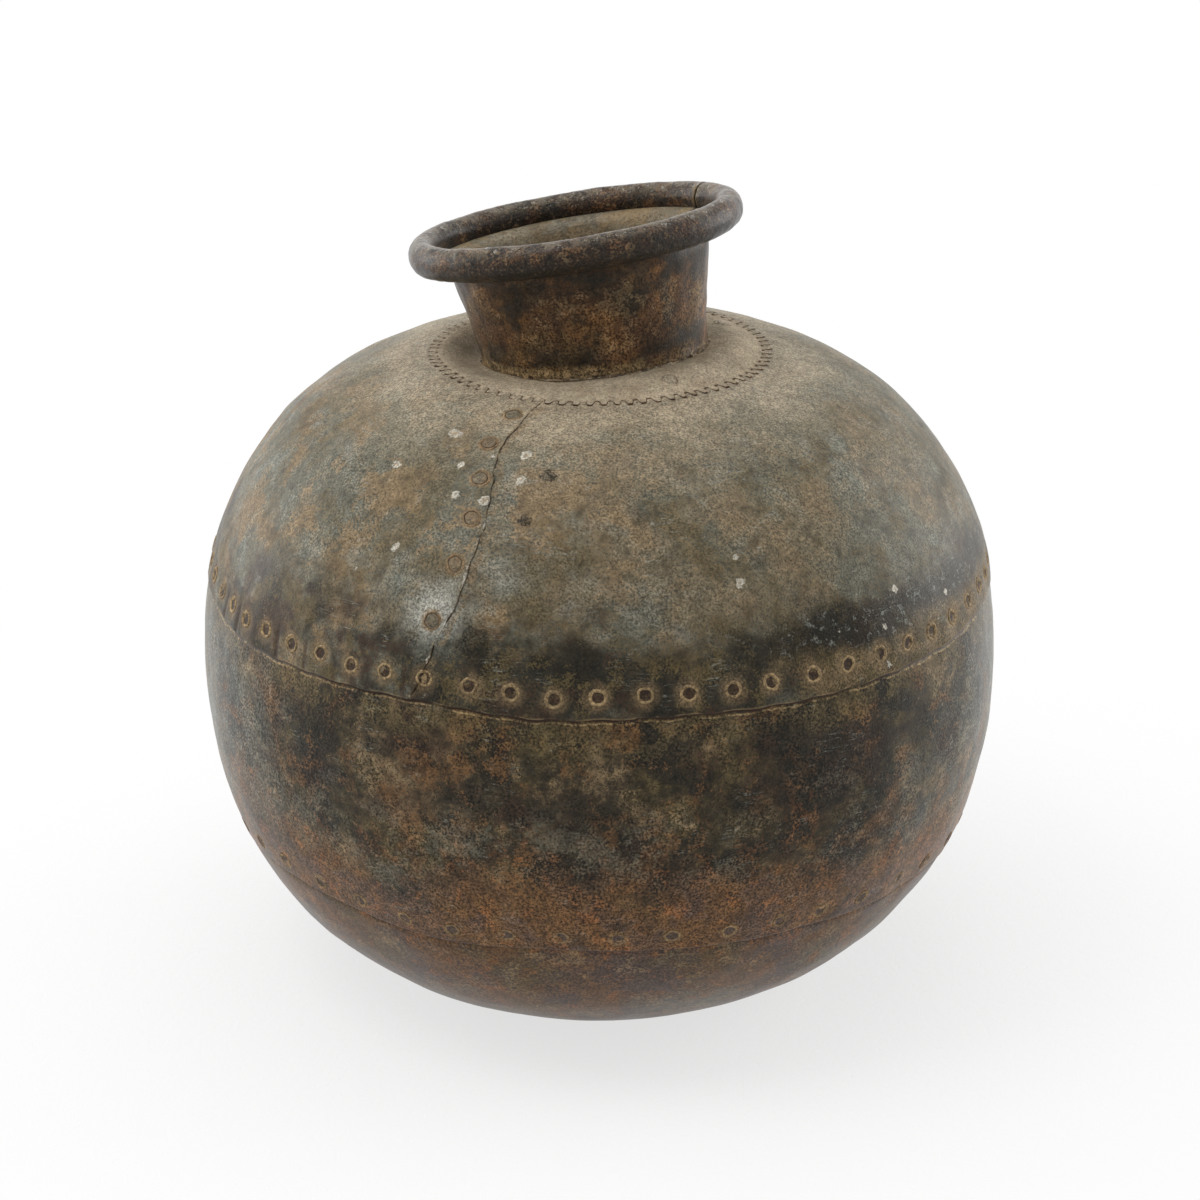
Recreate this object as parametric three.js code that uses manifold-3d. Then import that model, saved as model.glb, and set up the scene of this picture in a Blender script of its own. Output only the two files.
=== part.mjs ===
// Riveted sheet-iron water pot: a round body of lapped sheets and a leaning neck with a rolled rim.
// Millimetres, +Z up, origin at the centre of the flat base.
// Azimuth 0 is the front, along -Y, and grows towards +X.

import * as THREE from 'three';
import { mergeVertices } from 'three/addons/utils/BufferGeometryUtils.js';
import Module from 'manifold-3d';

const wasm = await Module();
wasm.setup();

const degree = Math.PI / 180;

// Sheet and play
const sheet = 1.6; // thickness of every sheet
const lapGap = 0.3; // play between two sheets that lie on each other
const holePlay = 0.3; // play round a rivet shank in its hole
const toothPlay = 0.5; // radial play in the toothed seam

// Outline of the body
const baseRadius = 70; // flat disc that the pot stands on
const bellyRadius = 190;
const bellyHeight = 150;
const crownHeight = 304;
const crownSlope = 8.6 * degree;
const baseReach = 55; // handles of the two curves that swell the body
const lowerReach = 95;
const upperReach = 109;
const crownReach = 51;

// Lap seams
const baseSeamHeight = 79; // lower edge of the belly band
const baseRivetRise = 9; // height of the rivet row above that edge
const bellySeamHeight = 197; // lower edge of the shoulder plates
const bellyRivetRise = 9.5;
const sideLap = 18; // width of the lap where the shoulder plates meet
const sideRivetEdge = 7; // from the edge of the lap to its rivets
const sideSeamOffset = 2; // from the facet edge to the edge of the upper plate

// Toothed seam between the shoulder plates and the neck plate
const neckPlateWidth = 26; // from the foot of the neck to the seam
const toothCount = 80;
const toothDepth = 4;

// Rivets
const rivetHeadRadius = 3.6;
const rivetCrestRadius = 2.7;
const rivetHeadHeight = 0.9;
const rivetDish = 0.7; // depth of the dish in the head
const rivetShankRadius = 2.2;
const rivetSink = 0.4; // how deep a fused head starts in its sheet
const rivetSeat = 0.25; // play under the heads of a loose rivet
const sideRivetCount = 6;
const baseRivetCount = 45;
const baseRivetPhase = 2 * degree;

// Neck
const neckShift = -2.5; // foot of the neck, to the left of the axis
const neckLeanLeft = 9 * degree;
const neckLeanBack = 6.5 * degree;
const seatTiltLeft = 5.5 * degree;
const seatTiltBack = 3.5 * degree;
const neckFootRadius = 52;
const neckFootWidth = 6; // flange under the neck plate
const neckTopRadius = 61;
const plugRivetAzimuths = [118 * degree, 28 * degree]; // plug rivets in the neck plate

// Rim
const rimRise = 57; // from the foot of the neck to the middle of the rim
const rimOverhang = 11; // from the top of the sleeve to the middle of the rim
const rimHalfWidth = 6.5;
const rimHalfHeight = 7.8;
const rimSkirt = 6; // how far the strip reaches down inside the neck
const rimJointAzimuth = 120 * degree;
const rimJointGap = 0.6;
const rollStart = 190 * degree; // where the strip starts and ends its way round the wire
const rollEnd = -90 * degree;

// Facets
const facets = 60; // round the body, one belly rivet to a facet
const neckFacets = 24;
const rivetSides = 5;
const wireSides = 5;
const rollSteps = 6; // round the roll of the rim
const bowlBands = 4; // up the bottom bowl
const mitreLimit = 0.5; // least cosine at a bend of a strip

const facetAngle = 2 * Math.PI / facets;
const facetWidth = 2 * bellyRadius * Math.sin(facetAngle / 2);
const lapStep = sheet + lapGap;
const crownRadius = neckFootRadius + neckPlateWidth;
const seatHeight = crownHeight; // where the neck passes the neck plate
const rimRadius = neckTopRadius + rimOverhang;
const sideSeamAzimuth = -3.5 * facetAngle; // front seam, on a facet edge

// Colours
const sheetIron = { color: 0x6f6655, roughness: 0.5, metalness: 0.6 };
const darkIron = { color: 0x4b4034, roughness: 0.5, metalness: 0.6 };
const neckIron = { color: 0x59462f, roughness: 0.6, metalness: 0.5 };
const rivetIron = { color: 0x7c6a4b, roughness: 0.55, metalness: 0.5 };

// Solids

function solidOf(geometry) {
  const bare = geometry.clone();
  bare.deleteAttribute('normal');
  bare.deleteAttribute('uv');
  const merged = mergeVertices(bare);
  const corners = merged.index.array;
  const triangles = [];
  for (let start = 0; start < corners.length; start += 3) {
    const [a, b, c] = corners.slice(start, start + 3);
    if (a !== b && b !== c && c !== a) triangles.push(a, b, c);
  }
  return new wasm.Manifold(new wasm.Mesh({
    numProp: 3,
    vertProperties: merged.attributes.position.array,
    triVerts: Uint32Array.from(triangles),
  }));
}

function geometryOf(solid) {
  const mesh = solid.getMesh();
  const geometry = new THREE.BufferGeometry();
  geometry.setAttribute('position', new THREE.BufferAttribute(mesh.vertProperties, 3));
  geometry.setIndex(new THREE.BufferAttribute(mesh.triVerts, 1));
  geometry.computeVertexNormals();
  return geometry;
}

function makeMesh(name, solid, finish) {
  const mesh = new THREE.Mesh(geometryOf(solid), new THREE.MeshStandardMaterial(finish));
  mesh.name = name;
  return mesh;
}

// A piece turned round +Z from its profile of radius and height.
function turned(profile, sides) {
  return new THREE.LatheGeometry(profile, sides).rotateX(Math.PI / 2);
}

// A sheet turned round +Z whose closed profile may change with the azimuth.
function turnedSheet(profileAt, sides, firstColumn) {
  const geometry = new THREE.LatheGeometry(profileAt(firstColumn), sides, firstColumn);
  const rows = geometry.parameters.points.length;
  for (let column = 0; column <= sides; column++) {
    const azimuth = firstColumn + 2 * Math.PI * column / sides;
    profileAt(azimuth).forEach((point, row) => {
      const vertex = column * rows + row;
      const x = point.x * Math.sin(azimuth);
      const z = point.x * Math.cos(azimuth);
      geometry.attributes.position.setXYZ(vertex, x, point.y, z);
    });
  }
  return geometry.rotateX(Math.PI / 2);
}

function closedProfile(outside, inside) {
  return [...outside, ...inside.slice().reverse(), outside[0].clone()];
}

// The profile of a strip of sheet that follows a centre line.
function stripProfile(line) {
  const sides = [sheet / 2, -sheet / 2].map((offset) => line.map((point, i) => {
    const before = line[Math.max(i - 1, 0)];
    const after = line[Math.min(i + 1, line.length - 1)];
    const into = point.clone().sub(before).normalize();
    const out = after.clone().sub(point).normalize();
    const along = into.clone().add(out).normalize();
    const spread = Math.max(along.dot(i > 0 ? into : out), mitreLimit);
    return new THREE.Vector2(point.x + along.y * offset / spread, point.y - along.x * offset / spread);
  }));
  return closedProfile(sides[0], sides[1]);
}

// Body outline: three curves from the base to the crown, one station each.

const inward = new THREE.Vector2(-Math.cos(crownSlope), Math.sin(crownSlope));
const crownPoint = new THREE.Vector2(crownRadius, crownHeight);
const bodyCurves = [
  new THREE.CubicBezierCurve(
    new THREE.Vector2(baseRadius, 0),
    new THREE.Vector2(baseRadius + baseReach, 0),
    new THREE.Vector2(bellyRadius, bellyHeight - lowerReach),
    new THREE.Vector2(bellyRadius, bellyHeight),
  ),
  new THREE.CubicBezierCurve(
    new THREE.Vector2(bellyRadius, bellyHeight),
    new THREE.Vector2(bellyRadius, bellyHeight + upperReach),
    crownPoint.clone().addScaledVector(inward, -crownReach),
    crownPoint,
  ),
  new THREE.LineCurve(crownPoint, crownPoint.clone().addScaledVector(inward, crownRadius)),
];
const bellyStation = 1;
const crownStation = 2;

// A point of the outline, moved in square to it.
function bodyPoint(station, inset) {
  const part = Math.min(Math.floor(station), bodyCurves.length - 1);
  const point = bodyCurves[part].getPoint(station - part);
  const tangent = bodyCurves[part].getTangent(station - part);
  return new THREE.Vector2(point.x - tangent.y * inset, point.y + tangent.x * inset);
}

function stationAtHeight(height) {
  let low = 0;
  let high = crownStation;
  for (let halving = 0; halving < 40; halving++) {
    const middle = (low + high) / 2;
    if (bodyPoint(middle, 0).y < height) low = middle;
    else high = middle;
  }
  return low;
}

function spread(from, to, bands) {
  return Array.from({ length: bands + 1 }, (_, i) => from + (to - from) * i / bands);
}

const baseSeam = stationAtHeight(baseSeamHeight);
const baseRivetRow = stationAtHeight(baseSeamHeight + baseRivetRise);
const baseLapTop = stationAtHeight(baseSeamHeight + 2 * baseRivetRise);
const bellySeam = stationAtHeight(bellySeamHeight);
const bellyRivetRow = stationAtHeight(bellySeamHeight + bellyRivetRise);
const bellyLapTop = stationAtHeight(bellySeamHeight + 2 * bellyRivetRise);

// Shoulder plates: both are one shape, with the upper edge of a side seam near azimuth 0
// and the edge that goes under the other plate on the far side.

const crownEdge = crownStation + (toothDepth + toothPlay) / crownRadius;
const crownSpeed = 3 * crownReach; // a cubic curve ends at three times its handle for each station
const toothFoot = crownStation - (toothDepth + toothPlay) / crownSpeed;
const shoulderRows = [bellySeam, ...spread(bellyLapTop, toothFoot, sideRivetCount), crownEdge];

function shoulderRise(station) {
  return lapStep * Math.min((toothFoot - station) / (toothFoot - bellyLapTop), 1);
}

// The upper edge rises by one sheet over the lap, and eases down beside it.
function seamLift(azimuth, radius) {
  const side = radius * Math.sin(azimuth);
  const nearSeam = Math.cos(azimuth) > 0;
  const flat = sideLap + facetWidth;
  const ease = 2 * facetWidth;
  return nearSeam ? lapStep * THREE.MathUtils.clamp((side + flat + ease) / ease, 0, 1) : 0;
}

function shoulderPoint(azimuth, station, depth) {
  const rise = Math.max(shoulderRise(station), 0);
  const lift = seamLift(azimuth, bodyPoint(station, 0).x);
  return bodyPoint(station, depth - rise - lift);
}

function bandPoint(azimuth, station, depth) {
  return bodyPoint(station, depth);
}

function bowlPoint(station, depth) {
  return bodyPoint(station, depth + lapStep * Math.min(station / baseSeam, 1));
}

function sheetProfile(pointAt, rows) {
  return (azimuth) => closedProfile(
    rows.map((station) => pointAt(azimuth, station, 0)),
    rows.map((station) => pointAt(azimuth, station, sheet)),
  );
}

function inSpace(point, azimuth) {
  return new THREE.Vector3(point.x * Math.sin(azimuth), -point.x * Math.cos(azimuth), point.y);
}

// Where a rivet sits on the facets of a sheet, with +Z out of the sheet.
function rivetPlace(pointAt, rows, firstColumn, azimuth, station) {
  const band = rows.findLastIndex((row, i) => row <= station && i < rows.length - 1);
  const share = (station - rows[band]) / (rows[band + 1] - rows[band]);
  const left = firstColumn + Math.floor((azimuth - firstColumn) / facetAngle) * facetAngle;
  const right = left + facetAngle;
  const ends = [left, right].map((column) => inSpace(
    pointAt(column, rows[band], 0).lerp(pointAt(column, rows[band + 1], 0), share), column));
  const fromLeft = Math.sin(azimuth - left);
  const fromRight = Math.sin(right - azimuth);
  const tangent = pointAt(azimuth, rows[band + 1], 0).sub(pointAt(azimuth, rows[band], 0)).normalize();
  const place = new THREE.Object3D();
  place.position.lerpVectors(ends[0], ends[1], fromLeft / (fromLeft + fromRight));
  const outward = inSpace(new THREE.Vector2(tangent.y, -tangent.x), azimuth);
  place.quaternion.setFromUnitVectors(new THREE.Vector3(0, 0, 1), outward);
  place.updateMatrix();
  return place;
}

// Rivets

// The head of a rivet in a long row, fused to the sheet that carries it.
function addHead(solid, place) {
  const profile = [
    [0, -rivetSink],
    [rivetHeadRadius, -rivetSink],
    [rivetCrestRadius, rivetHeadHeight],
    [0, rivetHeadHeight - rivetDish],
  ];
  const head = turned(profile.map(([r, z]) => new THREE.Vector2(r, z)), rivetSides);
  return solid.add(solidOf(head.applyMatrix4(place.matrix)));
}

function drillHole(solid, matrix, top, bottom) {
  const radius = rivetShankRadius + holePlay;
  const profile = [[0, bottom], [radius, bottom], [radius, top], [0, top]];
  const hole = turned(profile.map(([r, z]) => new THREE.Vector2(r, z)), rivetSides);
  return solid.subtract(solidOf(hole.applyMatrix4(matrix)));
}

// A rivet of its own, with a dished head outside and a plain one inside.
function looseRivet(grip) {
  const inside = -grip - rivetSeat;
  const profile = [
    [0, rivetHeadHeight - rivetDish],
    [rivetCrestRadius, rivetHeadHeight],
    [rivetHeadRadius, rivetSeat],
    [rivetShankRadius, rivetSeat],
    [rivetShankRadius, inside],
    [rivetHeadRadius, inside],
    [rivetCrestRadius, inside - rivetHeadHeight],
    [0, inside - rivetHeadHeight],
  ];
  return solidOf(turned(profile.map(([r, z]) => new THREE.Vector2(r, z)).reverse(), rivetSides));
}

const shoulderColumn = 0;
const bodyColumn = facetAngle / 2;
const otherSide = new THREE.Matrix4().makeRotationZ(Math.PI);

const bellyRivets = Array.from({ length: facets / 2 }, (_, i) => {
  const azimuth = -(i + 0.5) * facetAngle;
  return rivetPlace(shoulderPoint, shoulderRows, shoulderColumn, azimuth, bellyRivetRow);
});

const sideRivetRows = spread(bellyLapTop, toothFoot, 2 * sideRivetCount).filter((_, i) => i % 2 === 1);
const sideRivets = sideRivetRows.map((station) => {
  const azimuth = Math.asin((sideSeamOffset - sideRivetEdge) / bodyPoint(station, 0).x);
  return rivetPlace(shoulderPoint, shoulderRows, shoulderColumn, azimuth, station);
});

const bandRows = [baseSeam, ...spread(baseLapTop, bellyStation, 2), bellySeam, bellyLapTop];
const baseRivets = Array.from({ length: baseRivetCount }, (_, i) => {
  const azimuth = baseRivetPhase + 2 * Math.PI * i / baseRivetCount;
  return rivetPlace(bandPoint, bandRows, bodyColumn, azimuth, baseRivetRow);
});

// Toothed seam: a vertical star that parts the neck plate from the shoulder plates.
// Its teeth start at a side seam, so an even number of them suits both plates.
function toothedStar(growth, turn) {
  const points = Array.from({ length: 2 * toothCount }, (_, i) => {
    const radius = crownRadius + growth + (i % 2 ? -toothDepth : toothDepth) / 2;
    const angle = turn + Math.PI * i / toothCount;
    return new THREE.Vector2(radius * Math.sin(angle), -radius * Math.cos(angle));
  });
  const depth = crownHeight;
  const star = new THREE.ExtrudeGeometry(new THREE.Shape(points), { depth, bevelEnabled: false });
  return solidOf(star.translate(0, 0, crownHeight / 2));
}

function makeShoulderPlate() {
  const ring = turnedSheet(sheetProfile(shoulderPoint, shoulderRows), facets, shoulderColumn);
  const reach = 2 * bellyRadius;
  const under = sideLap - sideSeamOffset;
  const half = new THREE.Shape([
    [-reach, -reach], [sideSeamOffset, -reach], [sideSeamOffset, 0], [under, 0], [under, reach], [-reach, reach],
  ].map(([x, y]) => new THREE.Vector2(x, y)));
  const keep = new THREE.ExtrudeGeometry(half, { depth: 2 * crownHeight, bevelEnabled: false });
  let plate = solidOf(ring).intersect(solidOf(keep)).subtract(toothedStar(toothPlay, 0));
  bellyRivets.forEach((place) => {
    plate = addHead(plate, place);
  });
  // Holes in the upper edge, and in the edge under the other plate
  sideRivets.forEach((place) => {
    plate = drillHole(plate, place.matrix, lapStep, -lapStep);
    plate = drillHole(plate, otherSide.clone().multiply(place.matrix), 0, -2 * lapStep);
  });
  return plate;
}

function makeBellyBand() {
  let band = solidOf(turnedSheet(sheetProfile(bandPoint, bandRows), facets, bodyColumn));
  baseRivets.forEach((place) => {
    band = addHead(band, place);
  });
  return band;
}

function makeBottomBowl() {
  const rows = [...spread(0, baseSeam, bowlBands), baseLapTop];
  const profile = [
    new THREE.Vector2(0, 0),
    ...rows.map((station) => bowlPoint(station, 0)),
    ...rows.map((station) => bowlPoint(station, sheet)).reverse(),
    new THREE.Vector2(0, sheet),
  ];
  return solidOf(turnedSheet(() => profile, facets, bodyColumn));
}

// Neck: one leaning group, whose foot lies in the tilted seat of the neck plate.

const neck = new THREE.Group();
neck.position.set(neckShift, 0, seatHeight);
neck.rotation.set(-neckLeanBack, -neckLeanLeft, 0);
neck.updateMatrix();

const seatNormal = new THREE.Vector3(0, 0, 1).applyEuler(new THREE.Euler(-seatTiltBack, -seatTiltLeft, 0));
const footNormal = seatNormal.clone().applyQuaternion(neck.quaternion.clone().invert());

// Rise of a tilted plane at a radius and azimuth round its middle.
function planeRise(normal, radius, azimuth) {
  return -radius * (normal.x * Math.sin(azimuth) - normal.y * Math.cos(azimuth)) / normal.z;
}

function seatRise(radius, azimuth) {
  return seatHeight + planeRise(seatNormal, radius, azimuth) + neckShift * seatNormal.x / seatNormal.z;
}

function crownRise(radius) {
  return crownHeight + (crownRadius - radius) * Math.tan(crownSlope);
}

const seatEdge = neckFootRadius + neckFootWidth - neckShift;
const plateEdge = crownRadius + toothDepth;
const plateBend = crownRadius - toothDepth;
const holeStart = neckFootRadius / 2;

function platePoint(azimuth, radius, depth) {
  const top = radius > seatEdge ? crownRise(radius) : seatRise(radius, azimuth);
  return new THREE.Vector2(radius, top - depth);
}

const plugRivetRadius = (seatEdge + plateBend) / 2;
const plateRows = [plateEdge, plateBend, seatEdge, holeStart];
const sleeveTop = rimRise - rimHalfHeight + sheet / 2;
const footDepth = sheet + lapGap + sheet / 2;

// Centre line of the sleeve: its flange under the neck plate, its root and its top.
function sleeveLine(azimuth) {
  const flange = neckFootRadius + neckFootWidth;
  const root = neckFootRadius - sheet / 2;
  return [
    new THREE.Vector2(flange, planeRise(footNormal, flange, azimuth) - footDepth),
    new THREE.Vector2(root, planeRise(footNormal, root, azimuth) - footDepth),
    new THREE.Vector2(neckTopRadius - sheet / 2, sleeveTop),
  ];
}

function makeNeckSleeve() {
  return solidOf(turnedSheet((azimuth) => stripProfile(sleeveLine(azimuth)), neckFacets, 0));
}

// The space that the wall of the sleeve takes in the neck plate.
function makeNeckHole() {
  const profileAt = (azimuth) => {
    const [, root, top] = sleeveLine(azimuth);
    const side = sheet / 2 + lapGap;
    return [
      new THREE.Vector2(0, -sleeveTop),
      new THREE.Vector2(root.x + side, -sleeveTop),
      new THREE.Vector2(root.x + side, root.y),
      new THREE.Vector2(top.x + side, top.y),
      new THREE.Vector2(0, top.y),
    ];
  };
  return solidOf(turnedSheet(profileAt, neckFacets, 0).applyMatrix4(neck.matrix));
}

// A point of the plate's slope between its seat and its bend.
function slopePoint(azimuth, radius) {
  const share = (radius - seatEdge) / (plateBend - seatEdge);
  const rise = THREE.MathUtils.lerp(seatRise(seatEdge, azimuth), crownRise(plateBend), share);
  return inSpace(new THREE.Vector2(radius, rise), azimuth);
}

const plugRivets = plugRivetAzimuths.map((azimuth) => {
  const place = new THREE.Object3D();
  place.position.copy(slopePoint(azimuth, plugRivetRadius));
  const across = slopePoint(azimuth + facetAngle / 2, plugRivetRadius);
  across.sub(slopePoint(azimuth - facetAngle / 2, plugRivetRadius));
  const along = slopePoint(azimuth, plateBend).sub(slopePoint(azimuth, seatEdge));
  const outward = along.cross(across).normalize();
  place.quaternion.setFromUnitVectors(new THREE.Vector3(0, 0, 1), outward);
  place.updateMatrix();
  return place;
});

function makeNeckPlate() {
  const profileAt = (azimuth) => closedProfile(
    plateRows.map((radius) => platePoint(azimuth, radius, 0)),
    plateRows.map((radius) => platePoint(azimuth, radius, sheet)),
  );
  let plate = solidOf(turnedSheet(profileAt, facets, bodyColumn));
  plate = plate.intersect(toothedStar(0, sideSeamAzimuth)).subtract(makeNeckHole());
  plugRivets.forEach((place) => {
    plate = drillHole(plate, place.matrix, lapStep, -2 * lapStep);
  });
  return plate;
}

// Rim: a strip that goes down inside the sleeve, over a wire and back under it.

function makeRimRoll() {
  const [, root, top] = sleeveLine(0);
  const lean = (top.x - root.x) / (top.y - root.y);
  const skirtTop = new THREE.Vector2(top.x - lapStep - lapGap, top.y + sheet);
  const skirtEnd = new THREE.Vector2(skirtTop.x - lean * rimSkirt, skirtTop.y - rimSkirt);
  const halfWidth = rimHalfWidth - sheet / 2;
  const halfHeight = rimHalfHeight - sheet / 2;
  const roll = spread(rollStart, rollEnd, rollSteps).map((angle) => new THREE.Vector2(
    rimRadius + halfWidth * Math.cos(angle), rimRise + halfHeight * Math.sin(angle)));
  const lip = new THREE.Vector2(neckTopRadius + 2 * lapGap, roll.at(-1).y);
  const strip = stripProfile([skirtEnd, skirtTop, ...roll, lip]);
  const joint = new THREE.BoxGeometry(rimJointGap, rimRadius, 2 * rimRise);
  joint.translate(0, -rimRadius, rimRise).rotateZ(rimJointAzimuth);
  return solidOf(turnedSheet(() => strip, neckFacets, 0)).subtract(solidOf(joint));
}

function makeRimWire() {
  const radius = rimHalfWidth - lapStep;
  const section = spread(0, 2 * Math.PI, wireSides).map((angle) => new THREE.Vector2(
    rimRadius + radius * Math.cos(angle), rimRise + radius * Math.sin(angle)));
  return solidOf(turned(section, neckFacets));
}

// Assembly

const pot = new THREE.Group();
pot.add(makeMesh('bottom_bowl', makeBottomBowl(), darkIron));
pot.add(makeMesh('belly_band', makeBellyBand(), darkIron));

const shoulderSolid = makeShoulderPlate();
const shoulderSides = [
  { side: 'left', seam: 'front', turn: sideSeamAzimuth },
  { side: 'right', seam: 'back', turn: sideSeamAzimuth + Math.PI },
];
shoulderSides.forEach(({ side, seam, turn }) => {
  const half = new THREE.Group();
  half.rotation.z = turn;
  half.add(makeMesh(`shoulder_plate_${side}`, shoulderSolid, sheetIron));
  sideRivets.forEach((place, i) => {
    const rivet = makeMesh(`${seam}_seam_rivet_${i + 1}`, looseRivet(lapStep + sheet), rivetIron);
    rivet.position.copy(place.position);
    rivet.quaternion.copy(place.quaternion);
    half.add(rivet);
  });
  pot.add(half);
});

pot.add(makeMesh('neck_plate', makeNeckPlate(), sheetIron));
plugRivets.forEach((place, i) => {
  const rivet = makeMesh(`neck_plug_rivet_${i + 1}`, looseRivet(sheet), rivetIron);
  rivet.position.copy(place.position);
  rivet.quaternion.copy(place.quaternion);
  pot.add(rivet);
});

neck.add(makeMesh('neck_sleeve', makeNeckSleeve(), neckIron));
neck.add(makeMesh('rim_roll', makeRimRoll(), neckIron));
neck.add(makeMesh('rim_wire', makeRimWire(), darkIron));
pot.add(neck);

export default pot;
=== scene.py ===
"""Riveted sheet-iron water pot: fine sheets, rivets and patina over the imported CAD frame.

Metres, +Z up. Azimuth 0 is the front, along -Y, and grows towards +X.
"""

import math

import bpy
import numpy as np
from mathutils import Matrix, Vector


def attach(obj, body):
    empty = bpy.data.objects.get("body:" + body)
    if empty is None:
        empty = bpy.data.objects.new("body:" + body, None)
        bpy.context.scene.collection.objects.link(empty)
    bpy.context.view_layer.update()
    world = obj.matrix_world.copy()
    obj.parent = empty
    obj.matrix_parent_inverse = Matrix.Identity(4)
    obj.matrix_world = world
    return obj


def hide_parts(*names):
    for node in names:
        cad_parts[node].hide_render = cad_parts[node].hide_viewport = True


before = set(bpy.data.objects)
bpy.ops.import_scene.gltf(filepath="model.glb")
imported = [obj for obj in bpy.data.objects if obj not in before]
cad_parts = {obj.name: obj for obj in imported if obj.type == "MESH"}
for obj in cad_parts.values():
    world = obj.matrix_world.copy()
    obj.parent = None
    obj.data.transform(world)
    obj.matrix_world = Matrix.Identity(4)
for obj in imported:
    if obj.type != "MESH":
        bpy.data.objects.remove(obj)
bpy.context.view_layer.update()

bl_info = {
    "name": "Riveted water pot",
    "version": (1, 0, 0),
    "blender": (4, 5, 0),
    "location": "3D View > Sidebar > Pot",
    "description": "Builds the sheets, rivets and patina of a riveted iron water pot",
    "category": "Object",
}

# Outline of the body, as in the CAD model
BASE_RADIUS = 0.070
BELLY_RADIUS = 0.190
BELLY_HEIGHT = 0.150
CROWN_RADIUS = 0.078
CROWN_HEIGHT = 0.304
CROWN_SLOPE = math.radians(8.6)
BASE_REACH = 0.055
LOWER_REACH = 0.095
UPPER_REACH = 0.109
CROWN_REACH = 0.051

# Seams
LAP_STEP = 0.0019
SHOWN_STEP = 0.0011  # of a lap seen from outside; the sheet below is set down under it by the rest
BASE_STEP = 0.0006
BASE_SEAM_HEIGHT = 0.079
BASE_LAP = 0.018
BELLY_SEAM_HEIGHT = 0.197
BELLY_LAP = 0.019
SIDE_TUCK = 0.016
BACK_SEAM = math.radians(159)
# The front seam wanders: radius from the axis and azimuth in degrees, from the top down
FRONT_SEAM = (
    (0.078, -18.6), (0.090, -20.0), (0.108, -22.0), (0.127, -21.3), (0.139, -19.8), (0.147, -19.3),
    (0.163, -19.8), (0.175, -21.9), (0.183, -24.9), (0.187, -26.4),
)
SIDE_LIFT = 0.0011  # how far the upper plate stands up at the foot of a side seam
LIP_WIDTH = 0.0013
TOOTH_GAP = 0.00024
TONGUE_LIFT = 0.0004
MILLIMETRES = 1000  # in a metre; the values that materials read are in millimetres
FAR_AWAY = 30.0  # of those, for a point with no seam or rivet near it
CREASED_SIDE = math.radians(-55)
# A round dent in the front of the shoulder: azimuth in degrees, radius from the axis, and size
FRONT_DENT = (-1.6, 0.162, 0.0085)

# Rivets
BELLY_RIVETS = 60
BELLY_RIVET_RISE = 0.0095  # of a row's middle line above the edge of its sheet
BASE_RIVETS = 45
BASE_RIVET_RISE = 0.009
BASE_RIVET_TURN = math.radians(2.5)
SEAM_RIVET_RADII = (0.1745, 0.162, 0.148, 0.1325, 0.1145, 0.0935)
SEAM_RIVET_EDGE = 0.0065
PLUG_RIVETS = ((118.0, 0.067), (28.0, 0.067))  # azimuth in degrees and radius from the axis

# Neck and rim, as in the CAD model
NECK_SHIFT = -0.0025
NECK_TURN = Matrix.Rotation(math.radians(-6.5), 3, "X") @ Matrix.Rotation(math.radians(-9), 3, "Y")
SEAT_TURN = Matrix.Rotation(math.radians(-3.5), 3, "X") @ Matrix.Rotation(math.radians(-5.5), 3, "Y")
NECK_FOOT_RADIUS = 0.052
NECK_TOP_RADIUS = 0.061
RIM_RISE = 0.057
RIM_RADIUS = 0.072
RIM_HALF_WIDTH = 0.0065
RIM_HALF_HEIGHT = 0.0078
RIM_SKIRT_RISE = 0.040  # lower edge of the strip inside the neck
RIM_JOINT = math.radians(120)
RIM_JOINT_GAP = 0.0008


def srgb(red, green, blue):
    """A screen colour from 0 to 255 as the linear colour that the nodes use."""
    shares = (red / 255, green / 255, blue / 255)
    return tuple(s / 12.92 if s <= 0.04045 else ((s + 0.055) / 1.055) ** 2.4 for s in shares)


# Settings


class PotSizes(bpy.types.PropertyGroup):
    sheet: bpy.props.FloatProperty(
        name="Sheet", description="Thickness of every sheet", default=0.0016, unit="LENGTH")
    dent_depth: bpy.props.FloatProperty(
        name="Dents", description="Depth of the broad dents of hand work", default=0.0004, unit="LENGTH")
    belly_rivets: bpy.props.IntProperty(
        name="Belly rivets", description="Rivets round the belly seam", default=BELLY_RIVETS, min=12)
    base_rivets: bpy.props.IntProperty(
        name="Base rivets", description="Rivets round the base seam", default=BASE_RIVETS, min=12)
    rivet_radius: bpy.props.FloatProperty(
        name="Rivet radius", description="Outer radius of a rivet's ring", default=0.0041, unit="LENGTH")
    teeth: bpy.props.IntProperty(
        name="Teeth", description="Teeth of the seam round the neck plate", default=80, min=20)
    tooth_depth: bpy.props.FloatProperty(
        name="Tooth depth", description="Depth of those teeth", default=0.004, unit="LENGTH")


def colour_setting(name, description, default):
    return bpy.props.FloatVectorProperty(
        name=name, description=description, default=default, subtype="COLOR", min=0, max=1)


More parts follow.
